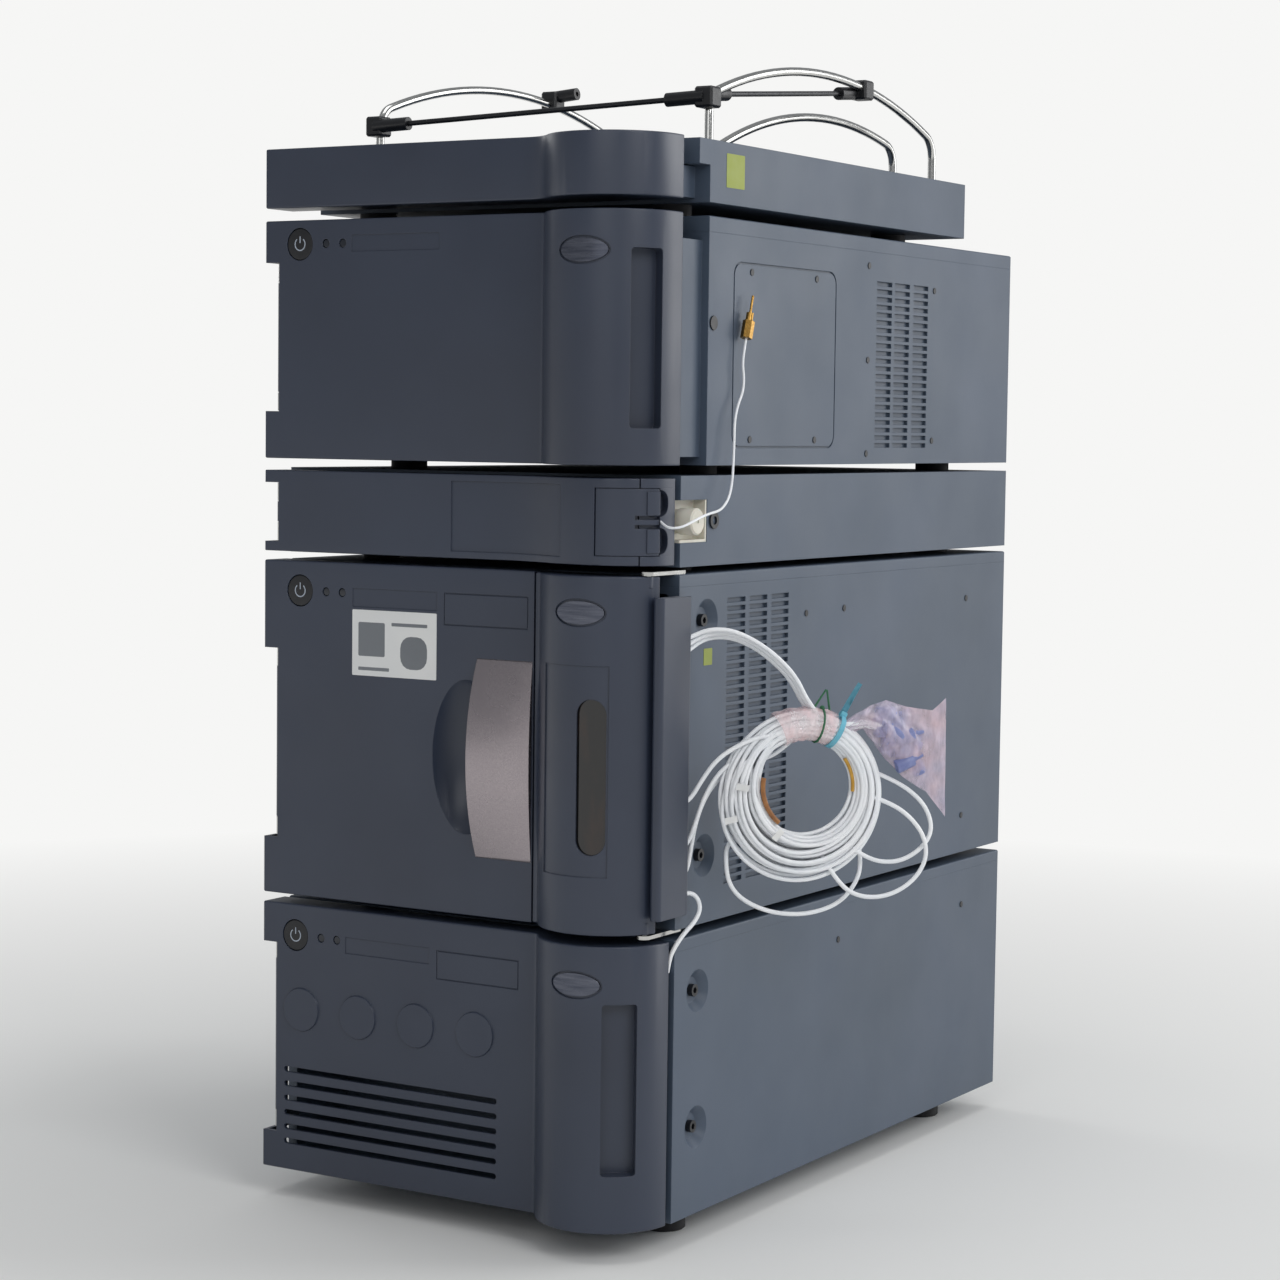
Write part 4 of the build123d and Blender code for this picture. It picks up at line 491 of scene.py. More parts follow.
# Coated paper labels: bare white, bare yellow-green.
LABEL_WHITE = Finish(
    "coated_white_label",
    "light_plastic",
    "E9E9E7",
    shade="E1E2E2",
    gloss=Pattern(9.0, 0.42, 0.55),
    grain=Pattern(2.0, 0.0, 0.01),
)
LABEL_LIME = Finish(
    "coated_lime_label",
    "light_plastic",
    "8F9A37",
    shade="87923A",
    gloss=Pattern(9.0, 0.42, 0.55),
    grain=Pattern(2.0, 0.0, 0.01),
)
PRINT_GREY = Finish(
    "printed_grey_ink",
    "black_plastic",
    "6E7277",
    shade="7A7E83",
    gloss=Pattern(3.0, 0.45, 0.6),
)
PRINT_PALE = Finish(
    "printed_pale_ink",
    "light_plastic",
    "AEB6C2",
    shade="A2ABB8",
    gloss=Pattern(3.0, 0.4, 0.55),
)
# Blue-violet polypropylene, moulded.
CONTENTS = Finish(
    "moulded_violet_filter",
    "bag_film",
    "6D75A6",
    shade="8890BC",
    drift=Pattern(6.0, 0.0, 1.0),
    gloss=Pattern(4.0, 0.35, 0.5),
)


@dataclass(frozen=True)
class FilmFinish(Finish):
    """Thin polythene film: mostly clear, tinted pink, brighter in denser streaks that are partly thicker
    film and partly painted highlight along its creases.
    """

    def extend(
        self, tree: bpy.types.NodeTree, shader: bpy.types.Node, coordinates: bpy.types.NodeSocket
    ) -> None:
        """Adds the film's thin and dense places, by its creases; the dense streaks are partly painted
        highlight.
        """
        # Denser streaks show more of the pale film: partly thicker film, partly painted highlight along the
        # creases.
        density_and_highlight = Pattern(7.0, 0.24, 0.66, detail=5.0, stretch=(1.0, 1.0, 2.6)).value(tree, coordinates)
        tree.links.new(density_and_highlight, shader.inputs["Alpha"])


# Loose bag of antistatic film, with long soft creases.
FILM = FilmFinish(
    "antistatic_pink_film",
    "bag_film",
    "F0D3D9",
    shade="D9D3EA",
    drift=Pattern(24.0, 0.0, 1.0),
    gloss=Pattern(6.0, 0.12, 0.3),
    grain=Pattern(9.0, 0.0, 0.9, detail=4.0, stretch=(1.0, 1.0, 2.6)),
    sockets=(("IOR", 1.5), ("Coat Weight", 0.4), ("Coat Roughness", 0.08)),
)
# The same film wound tight, so it is denser and its creases are shorter.
WRAP = FilmFinish(
    "wound_pink_film",
    "bag_film",
    "F3C9CC",
    shade="F6E6E8",
    drift=Pattern(11.0, 0.0, 1.0),
    gloss=Pattern(5.0, 0.14, 0.32),
    grain=Pattern(6.0, 0.0, 0.6, detail=4.0),
    sockets=(("IOR", 1.5), ("Coat Weight", 0.4), ("Coat Roughness", 0.08)),
)


# ---------------------------------------------------------------- camera and studio
@dataclass
class CameraRig:
    """The camera that looks at the stack from its front right.

    Attributes:
        place: where it stands, in metres.
        yaw: degrees to the left of straight back.
        pitch: degrees that it looks down.
        roll: degrees that it leans.
        lens: focal length in millimetres on a 36 mm sensor.
    """

    place: Point = (1.20733, -2.00663, 0.58755)
    yaw: float = 31.26
    pitch: float = 4.194
    roll: float = 0.726
    lens: float = 82.18

    def build(self) -> bpy.types.Object:
        """Makes the camera and gives it to the scene."""
        yaw, pitch, roll = radians(self.yaw), radians(self.pitch), radians(self.roll)
        ahead = Vector((-sin(yaw) * cos(pitch), cos(yaw) * cos(pitch), -sin(pitch)))
        right = Vector((cos(yaw), sin(yaw), 0))
        above = right.cross(ahead)
        across = right * cos(roll) + above * sin(roll)
        upright = above * cos(roll) - right * sin(roll)
        data = bpy.data.cameras.new("camera")
        data.lens, data.sensor_width = self.lens, 36.0
        data.clip_start, data.clip_end = 0.05, 60.0
        camera = bpy.data.objects.new("camera", data)
        bpy.context.scene.collection.objects.link(camera)
        turn = Matrix((across, upright, -ahead)).transposed().to_4x4()
        camera.matrix_world = Matrix.Translation(self.place) @ turn
        bpy.context.scene.camera = camera
        return camera


@dataclass
class Studio:
    """Pale floor and soft lamps.

    Attributes:
        floor_size: width of the floor, in metres.
        white: sRGB hex of the background that the camera sees.
        near: how far from the middle the floor starts to turn white to the camera.
        far: how far from the middle it is all white.
        world_light: strength of the light from all round.
        lamps: for each lamp its name, place, aim, size and power.
    """

    floor_size: float = 40.0
    white: str = "F6F6F5"
    near: float = 0.55
    far: float = 1.9
    world_light: float = 0.34
    lamps: tuple[tuple[str, Point, Point, float, float], ...] = (
        ("wall_right", (3.3, 3.1, 1.9), (0.1, 0.0, 0.6), 3.0, 95.0),
        ("key_right", (3.0, -1.5, 2.3), (0.1, 0.0, 0.55), 1.6, 34.0),
        ("fill_front", (0.9, -3.9, 2.2), (0.0, -0.2, 0.4), 2.2, 20.0),
        ("top_soft", (0.2, 0.1, 3.4), (0.0, 0.0, 0.4), 2.0, 26.0),
        ("rim_left", (-3.2, 0.6, 1.6), (0.0, 0.0, 0.4), 1.6, 14.0),
    )

    def build(self) -> None:
        """Makes floor, world and lamps."""
        self._floor()
        self._world()
        for name, place, aim, size, power in self.lamps:
            data = bpy.data.lights.new(name, "AREA")
            data.energy, data.size = power, size
            lamp = bpy.data.objects.new(name, data)
            lamp.location = place
            lamp.rotation_euler = (Vector(aim) - Vector(place)).to_track_quat("-Z", "Y").to_euler()
            bpy.context.scene.collection.objects.link(lamp)

    def _floor(self) -> None:
        """A plain pale floor, white to the camera far from the object."""
        shape = bmesh.new()
        bmesh.ops.create_grid(shape, x_segments=1, y_segments=1, size=self.floor_size / 2)
        mesh = bpy.data.meshes.new("floor")
        shape.to_mesh(mesh)
        shape.free()
        floor = bpy.data.objects.new("floor", mesh)
        bpy.context.scene.collection.objects.link(floor)
        paint = bpy.data.materials.new("matt_floor_paint")
        paint.use_nodes = True
        tree = paint.node_tree
        shader = tree.nodes["Principled BSDF"]
        shader.inputs["Base Color"].default_value = linear("EDEDEB")
        shader.inputs["Roughness"].default_value = 0.75
        place = add_node(tree, "ShaderNodeTexCoord").outputs["Object"]
        distance = add_node(tree, "ShaderNodeVectorMath", {"operation": "LENGTH"}, {0: place})
        reach = {"Value": distance.outputs["Value"], "From Min": self.near, "From Max": self.far}
        far = add_node(tree, "ShaderNodeMapRange", inputs=reach).outputs[0]
        path = add_node(tree, "ShaderNodeLightPath").outputs
        seen = self._larger(tree, path["Is Camera Ray"], path["Is Transmission Ray"])
        seen = self._larger(tree, seen, path["Is Glossy Ray"])
        share = add_node(tree, "ShaderNodeMath", {"operation": "MULTIPLY"}, {0: far, 1: seen}).outputs[0]
        glow = {"Color": linear(self.white), "Strength": 1.0}
        white = add_node(tree, "ShaderNodeEmission", inputs=glow).outputs[0]
        mix = {0: share, 1: shader.outputs[0], 2: white}
        mixed = add_node(tree, "ShaderNodeMixShader", inputs=mix).outputs[0]
        tree.links.new(mixed, tree.nodes["Material Output"].inputs[0])
        mesh.materials.append(paint)

    @staticmethod
    def _larger(
        tree: bpy.types.NodeTree, first: bpy.types.NodeSocket, second: bpy.types.NodeSocket
    ) -> bpy.types.NodeSocket:
        """The larger of two numbers, as an output."""
        return add_node(tree, "ShaderNodeMath", {"operation": "MAXIMUM"}, {0: first, 1: second}).outputs[0]

    def _world(self) -> None:
        """Soft surrounding light, and a white background for the camera."""
        world = bpy.data.worlds.new("studio_world")
        bpy.context.scene.world = world
        world.use_nodes = True
        tree = world.node_tree
        light = tree.nodes["Background"]
        light.inputs[0].default_value = linear("F3F6FA")
        light.inputs[1].default_value = self.world_light
        path = add_node(tree, "ShaderNodeLightPath").outputs
        seen = self._larger(tree, path["Is Camera Ray"], path["Is Transmission Ray"])
        white = add_node(tree, "ShaderNodeBackground", inputs={0: linear(self.white), 1: 1.0})
        mix = {0: seen, 1: light.outputs[0], 2: white.outputs[0]}
        mixed = add_node(tree, "ShaderNodeMixShader", inputs=mix)
        tree.links.new(mixed.outputs[0], tree.nodes["World Output"].inputs[0])


# ---------------------------------------------------------------- carried-over parts
@dataclass
class Cabinet:
    """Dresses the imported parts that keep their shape.

    Attributes:
        finishes: for each finish, the nodes that have it.
        crease: edges sharper than this, in degrees, stay sharp.
    """

    crease: float = 28.0
    finishes: tuple[tuple[Finish, tuple[str, ...]], ...] = (
        (RUBBER, ("bench_feet", "stacking_pads")),
        (
            CABINET,
            (
                "pump_chassis",
                "pump_lid",
                "sampler_chassis",
                "sampler_lid",
                "oven_chassis",
                "detector_chassis",
                "detector_lid",
                "lamp_access_cover",
                "solvent_tray",
            ),
        ),
        (
            DOOR,
            (
                "pump_door",
                "sampler_door",
                "side_door",
                "oven_door",
                "oven_end_cap",
                "oven_latch",
                "detector_door",
                "tray_front",
                "tube_chase_cover",
            ),
        ),
        (
            BLACK,
            (
                "pump_button",
                "sampler_button",
                "detector_button",
                "rail_clamps",
                "rear_inlets",
                "side_fixings",
            ),
        ),
        (LENS, ("pump_lights", "sampler_lights", "detector_lights")),
        (BADGE, ("pump_badge", "sampler_badge", "detector_badge")),
        (SILVER, ("sampler_handle",)),
        (WINDOW, ("side_door_window",)),
        (
            STEEL,
            (
                "pump_heads",
                "injection_valve",
                "separation_column",
                "hinge_pins",
                "hinge_brackets",
                "syringe_plunger",
                "hoop_rails",
            ),
        ),
        (DARK_ROD, ("cross_rods",)),
        (
            PALE,
            (
                "solvent_valve_block",
                "sample_drawers",
                "vial_plates",
                "column_trough",
                "flow_cell",
                "knob_bracket",
                "valve_knob",
            ),
        ),
        (GLASS, ("syringe_barrel",)),
        (TURNED_BRASS, ("capillary_fitting",)),
    )

    def build(self, nodes: dict[str, bpy.types.Object]) -> None:
        """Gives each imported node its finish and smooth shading."""
        for finish, names in self.finishes:
            for name in names:
                self._dress(nodes[name], finish)

    def _dress(self, node: bpy.types.Object, finish: Finish) -> None:
        """Shades one node smooth across its curved faces and paints it."""
        mesh = node.data
        mesh.materials.clear()
        mesh.materials.append(finish.material())
        with bpy.context.temp_override(object=node, active_object=node):
            bpy.ops.mesh.customdata_custom_splitnormals_clear()
        mesh.shade_smooth()
        weld = node.modifiers.new("weld", "WELD")
        weld.merge_threshold = 1e-6
        split = node.modifiers.new("creases", "EDGE_SPLIT")
        split.split_angle = radians(self.crease)
        LOG.info("%s is %s", node.name, finish.name)


# ---------------------------------------------------------------- tubing
ROW_RISE = 0.866  # height of a row over its pitch, where round strands nest


class Lay(Enum):
    """How a length of tube lies."""

    COILED = "coiled"
    LOOSE = "loose"


@dataclass
class Bundle:
    """The ring that the coiled lines lie in.

    Attributes:
        centre: middle of the ring, in millimetres.
        across: direction that runs across the ring, level.
        sideways: direction of the ring's axis.
        radius: from the middle to the bundle's middle.
        tie: angle of the ties, in degrees from across towards up.
        fan: how much wider the bundle is opposite the ties, as a share.
        swell: how far the bundle's middle moves out there, or in where it is below zero.
        thicken: how much thicker the bundle is there, as a share.
    """

    centre: Point = (235.0, -180.0, 328.0)
    across: Point = (0.686, 0.727, 0.0)
    sideways: Point = (0.727, -0.686, 0.0)
    radius: float = 50.0
    tie: float = 62.0
    fan: float = 0.85
    swell: float = -4.0
    thicken: float = 0.12

    def flat(self, right: float, up: float, out: float = 0.0) -> Vector:
        """A place from millimetres right, up and out of the ring's plane, in metres."""
        centre = Vector(self.centre)
        return (centre + Vector(self.across) * right + Vector((0, 0, up)) + Vector(self.sideways) * out) * MM

    def place(self, angle: float, radial: float, out: float) -> Vector:
        """A place in the bundle.

        Args:
            angle: radians from across towards up.
            radial: millimetres outwards from the bundle's middle, at the ties.
            out: millimetres along the ring's axis, at the ties.

        Returns:
            The place in metres.
        """
        open_way = (1 - cos(angle - radians(self.tie))) / 2
        reach = self.radius + self.swell * open_way + radial * (1 + self.fan * open_way)
        return self.flat(reach * cos(angle), reach * sin(angle), out * (1 + self.thicken * open_way))

    def section(self, angle: float, radial: float = 0.0, out: float = 0.0) -> Matrix:
        """Place and axes across the bundle: x along the ring's axis, z round the ring."""
        spot = self.place(angle, radial, out)
        ahead = (self.place(angle + 0.01, radial, out) - spot).normalized()
        side = Vector(self.sideways)
        axes = Matrix((side, ahead.cross(side), ahead)).transposed().to_4x4()
        return Matrix.Translation(spot) @ axes

    def rows(self, pitch: float, limit: float, count: int) -> list[list[tuple[float, float]]]:
        """Places for strands side by side, as rows of a packed stack.

        Args:
            pitch: distance between two strands, in millimetres.
            limit: the furthest a strand's middle may be from the bundle's middle.
            count: the number of rows wanted.

        Returns:
            For each row, radial and sideways offsets in millimetres.
        """
        places: list[tuple[float, float]] = []
        for level in range(-4, 5):
            for step in range(-5, 6):
                spot = (pitch * (step + 0.5 * (level % 2)), pitch * ROW_RISE * level)
                if spot[0] ** 2 + spot[1] ** 2 <= limit**2:
                    places.append(spot)
        places.sort(key=lambda spot: (round(spot[1], 2), spot[0]))
        size = len(places) // count
        rows = [places[i * size : (i + 1) * size] for i in range(count)]
        return [row if i % 2 else row[::-1] for i, row in enumerate(rows)]


@dataclass
class Line:
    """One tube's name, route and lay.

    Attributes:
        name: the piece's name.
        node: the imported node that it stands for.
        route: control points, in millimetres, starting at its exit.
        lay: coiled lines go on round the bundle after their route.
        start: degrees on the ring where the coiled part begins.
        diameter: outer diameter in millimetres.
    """

    name: str
    node: str
    route: tuple[Point, ...]
    lay: Lay = Lay.LOOSE
    start: float = 0.0
    diameter: float = 3.2


@dataclass
class Tubing:
    """Solvent lines, their coil, the loose turns, the drain and the capillary.

    Attributes:
        bundle: the ring that the coiled lines lie in.
        pitch: distance between two strands, in millimetres.
        limit: the furthest a strand's middle may be from the bundle's middle.
        points_a_turn: control points round the ring.
        crossing: share of a turn after which a strand moves over to its next place.
        wander: how far a strand strays along the ring's axis.
        radial_wander: how many times further it strays outwards.
        bag_entry: degrees on the ring where a line leaves it for the bag.
        tail: for each point of its way into the bag, millimetres right and up with the share of the
            strand's place outwards that each keeps, and the share of its place sideways.
        seed: where the random wander starts.
        lines: every tube with its route.
    """

    bundle: Bundle = field(default_factory=Bundle)
    pitch: float = 3.05
    limit: float = 9.4
    points_a_turn: int = 14
    crossing: float = 0.7
    wander: float = 0.95
    radial_wander: float = 2.2
    bag_entry: float = 75.0
    tail: tuple[tuple[tuple[float, float], tuple[float, float], float], ...] = (
        ((36, 0.3), (49, 0.5), 0.6),
        ((50, 0.3), (50, 0.4), 0.4),
        ((63, 0.0), (46, 0.3), 0.3),
    )
    seed: int = 11
    lines: tuple[Line, ...] = ()

    def build(self) -> dict[str, bpy.types.Object]:
        """Makes every tube and returns them by name."""
        coiled = [line for line in self.lines if line.lay is Lay.COILED]
        rows = self.bundle.rows(self.pitch, self.limit, len(coiled))
        made: dict[str, bpy.types.Object] = {}
        for index, line in enumerate(self.lines):
            points = [metres(point) for point in line.route]
            if line.lay is Lay.COILED:
                points += self._turns(line, rows[coiled.index(line)], random.Random(self.seed + index))
            made[line.name] = self._tube(line, points)
        return made

    def _turns(self, line: Line, row: list[tuple[float, float]], chance: random.Random) -> list[Vector]:
        """Control points of a line's turns round the bundle and its way into the bag."""
        points: list[Vector] = []
        step = tau / self.points_a_turn
        steps = len(row) * self.points_a_turn
        swing = [(chance.uniform(-1, 1), chance.uniform(0, tau)) for _ in row]
        for index in range(steps):
            turn, along = divmod(index, self.points_a_turn)
            ahead = min(turn + 1, len(row) - 1)
            shift = max(0.0, (along / self.points_a_turn - self.crossing) / (1 - self.crossing))
            shift = shift * shift * (3 - 2 * shift)
            radial = row[turn][0] * (1 - shift) + row[ahead][0] * shift
            out = row[turn][1] * (1 - shift) + row[ahead][1] * shift
            angle = radians(line.start) - index * step
            size, phase = swing[turn]
            fade = sin(pi * along / self.points_a_turn) ** 2
            radial += self.wander * size * self.radial_wander * fade * sin(angle + phase)
            out += self.wander * size * fade * cos(1.5 * angle + phase)
            points.append(self.bundle.place(angle, radial, out))
        side = row[-1][1]
        level = row[-1][0]
        last = radians(line.start) - steps * step
        while last > radians(self.bag_entry) - tau:
            points.append(self.bundle.place(last, level, side))
            last -= step
        for (right, right_share), (up, up_share), side_share in self.tail:
            right, up = right + level * right_share, up + level * up_share
            points.append(self.bundle.flat(right, up, side * side_share))
        return points

    def _tube(self, line: Line, points: Sequence[Vector]) -> bpy.types.Object:
        """A smooth tube on these control points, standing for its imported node."""
        curve = bpy.data.curves.new(line.name, "CURVE")
        curve.dimensions = "3D"
        curve.bevel_depth = line.diameter / 2 * MM
        curve.bevel_resolution = 3
        curve.use_fill_caps = True
        curve.resolution_u = 8
        spline = curve.splines.new("NURBS")
        spline.points.add(len(points) - 1)
        for slot, point in zip(spline.points, points):
            slot.co = (*point, 1.0)
        spline.order_u = 3
        spline.use_endpoint_u = True
        spline.use_smooth = True
        tube = bpy.data.objects.new(line.name, curve)
        bpy.context.scene.collection.objects.link(tube)
        curve.materials.append(PTFE.material())
        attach(tube, ROOT_BODY)
        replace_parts(tube, line.node)
        LOG.info("%s has %d control points", line.name, len(points))
        return tube


def centreline(tube: bpy.types.Object) -> list[Vector]:
    """Points along a tube's own spline, in metres."""
    copy = tube.copy()
    copy.data = tube.data.copy()
    copy.data.bevel_depth = 0.0
    bpy.context.scene.collection.objects.link(copy)
    bpy.context.view_layer.update()
    mesh = bpy.data.meshes.new_from_object(copy.evaluated_get(bpy.context.evaluated_depsgraph_get()))
    points = [vertex.co.copy() for vertex in mesh.vertices]
    bpy.data.meshes.remove(mesh)
    data = copy.data
    bpy.data.objects.remove(copy)
    bpy.data.curves.remove(data)
    return points


# ---------------------------------------------------------------- ties, sleeves and bag
@dataclass
class CoilTrim:
    """What holds and marks the coil: cable tie, twist tie and paper tags.

    Attributes:
        bundle: the ring that they are on.
        tie_angle: degrees on the ring of the cable tie.
        twist_step: degrees from the cable tie to the twist tie.
        tie_radius: inside radius of the cable tie, in millimetres.
        strap: width and thickness of its strap.
        head: sizes of its head.
        tail_length: length of its tail.
        wire: thickness of the twist tie, as a radius.
        tags: for each tag, degrees on the ring, and millimetres outwards and along its axis.
        tag_size: length and width of a tag.
    """

    bundle: Bundle = field(default_factory=Bundle)
    tie_angle: float = 62.0
    twist_step: float = 15.0
    tie_radius: float = 11.6
    strap: tuple[float, float] = (3.6, 1.1)
    head: Point = (4.2, 5.4, 4.8)
    tail_length: float = 24.0
    wire: float = 0.8
    tags: tuple[Point, ...] = ((196, 7, 11), (172, 1, 12), (232, -6, 11))
    tag_size: tuple[float, float] = (9.0, 5.0)

    def build(self) -> list[bpy.types.Object]:
        """Makes the pieces and returns those that go with a cord."""
        return [self._cable_tie(), self._twist_tie(), *self._tags()]

    def _frame(self, angle: float) -> Matrix:
        """Place and axes at a ring angle: x outwards, y along the ring's axis, z round the ring."""
        turn = radians(angle)
        out = Vector(self.bundle.across) * cos(turn) + Vector((0, 0, sin(turn)))
        side = Vector(self.bundle.sideways)
        way = out.cross(side)
        axes = Matrix((out, side, way)).transposed().to_4x4()
        return Matrix.Translation(self.bundle.place(turn, 0, 0)) @ axes

    def _cable_tie(self) -> bpy.types.Object:
        """A flat nylon strap round the bundle, with its head and a tail that stands up."""
        width, thick = self.strap[0] * MM, self.strap[1] * MM
        radius = self.tie_radius * MM
        shape = bmesh.new()
        section = ((0, -width / 2), (thick, -width / 2), (thick, width / 2), (0, width / 2))
        corners = [shape.verts.new((radius + x, 0, z)) for x, z in section]
        edges = [shape.edges.new((corners[i], corners[(i + 1) % 4])) for i in range(4)]
        spin_ring(shape, [*corners, *edges], 48)
        head = bmesh.ops.create_cube(shape, size=1.0)["verts"]
        bmesh.ops.scale(shape, vec=metres(self.head), verts=head)
        bmesh.ops.bevel(
            shape,
            geom=list({edge for vertex in head for edge in vertex.link_edges}),
            offset=0.6 * MM,
            segments=2,
            profile=0.5,
            affect="EDGES",
            material=-1,
        )
        head = [vertex for vertex in shape.verts if vertex.co.length < 6 * MM]
        bmesh.ops.translate(shape, vec=(radius + 1.8 * MM, 0, 0), verts=head)
        tail = bmesh.ops.create_grid(shape, x_segments=12, y_segments=1, size=0.5)["verts"]
        for vertex in tail:
            along = vertex.co.x + 0.5
            vertex.co = Vector(
                (
                    radius + 3.0 * MM + along * self.tail_length * MM,
                    (0.6 + 3.0 * along**2) * MM,
                    vertex.co.y * width * (1 - 0.35 * along),
                )
            )
        faces = list({face for vertex in tail for face in vertex.link_faces})
        bmesh.ops.solidify(shape, geom=faces, thickness=thick)
        bmesh.ops.transform(shape, matrix=self._frame(self.tie_angle), verts=shape.verts)
        tie = keep(shape, "cable_tie", NYLON_BLUE, ROOT_BODY)
        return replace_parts(tie, "tube_tie")

    def _twist_tie(self) -> bpy.types.Object:
        """A green paper-covered wire, twisted shut with two loose ends."""
        radius = (self.tie_radius + 0.6) * MM
        frame = self._frame(self.tie_angle + self.twist_step)
        shape = bmesh.new()
        ring = bmesh.ops.create_circle(shape, segments=8, radius=self.wire * MM)["verts"]
        rotate(shape, ring, pi / 2, "X")
        bmesh.ops.translate(shape, vec=(radius, 0, 0), verts=ring)
        edges = list({edge for vertex in ring for edge in vertex.link_edges})
        spin_ring(shape, [*ring, *edges], 40)
        for side in (-1, 1):
            end = add_cone(shape, 8, self.wire, self.wire - 0.1, 16)
            rotate(shape, end, radians(90 + 24 * side), "Y")
            rotate(shape, end, radians(10 * side), "Z")
            bmesh.ops.translate(shape, vec=(radius + 6.5 * MM, 0.6 * MM * side, 3.0 * MM * side), verts=end)
        knot = bmesh.ops.create_uvsphere(shape, u_segments=12, v_segments=8, radius=1.9 * MM)["verts"]
        bmesh.ops.translate(shape, vec=(radius + 0.4 * MM, 0, 0), verts=knot)
        bmesh.ops.transform(shape, matrix=frame, verts=shape.verts)
        return keep(shape, "twist_tie", TWIST_GREEN, ROOT_BODY)

    def _tags(self) -> list[bpy.types.Object]:
        """Small bare paper flags on single strands."""
        made = []
        for index, (angle, radial, out) in enumerate(self.tags):
            shape = bmesh.new()
            bmesh.ops.create_grid(shape, x_segments=4, y_segments=2, size=0.5)
            bmesh.ops.scale(shape, vec=(self.tag_size[0] * MM, self.tag_size[1] * MM, 1), verts=shape.verts)
            for vertex in shape.verts:
                vertex.co.z = 0.6 * MM * sin(vertex.co.x / MM * 0.5)
            bmesh.ops.solidify(shape, geom=shape.faces[:], thickness=0.25 * MM)
            rotate(shape, shape.verts[:], radians(75), "X")
            frame = self._frame(angle)
            frame.translation = self.bundle.place(radians(angle), radial, out)
            bmesh.ops.transform(shape, matrix=frame, verts=shape.verts)
            made.append(keep(shape, f"paper_tag_{index + 1}", LABEL_WHITE, ROOT_BODY))
        return made


@dataclass
class MarkerSleeve:
    """A coloured sleeve along the inside of the coil.

    Attributes:
        name: the piece's name.
        finish: what it is made of.
        start: degrees on the ring where it begins.
        end: degrees where it ends.
        radial: millimetres outwards from the bundle's middle.
        out: millimetres along the ring's axis.
        bundle: the ring that it is on.
        diameter: outer diameter in millimetres.
        steps: steps along it.
    """

    name: str
    finish: Finish
    start: float
    end: float
    radial: float
    out: float
    bundle: Bundle = field(default_factory=Bundle)
    diameter: float = 3.6
    steps: int = 22

    def build(self) -> bpy.types.Object:
        """Makes the sleeve as a tube in the bundle."""
        shape = bmesh.new()
        rings = []
        for index in range(self.steps + 1):
            angle = radians(self.start + (self.end - self.start) * index / self.steps)
            ring = bmesh.ops.create_circle(shape, segments=10, radius=self.diameter / 2 * MM)["verts"]
            frame = self.bundle.section(angle, self.radial, self.out)
            bmesh.ops.transform(shape, matrix=frame, verts=ring)
            rings.append(ring)
        bridge(shape, rings)
        return keep(shape, self.name, self.finish, ROOT_BODY)


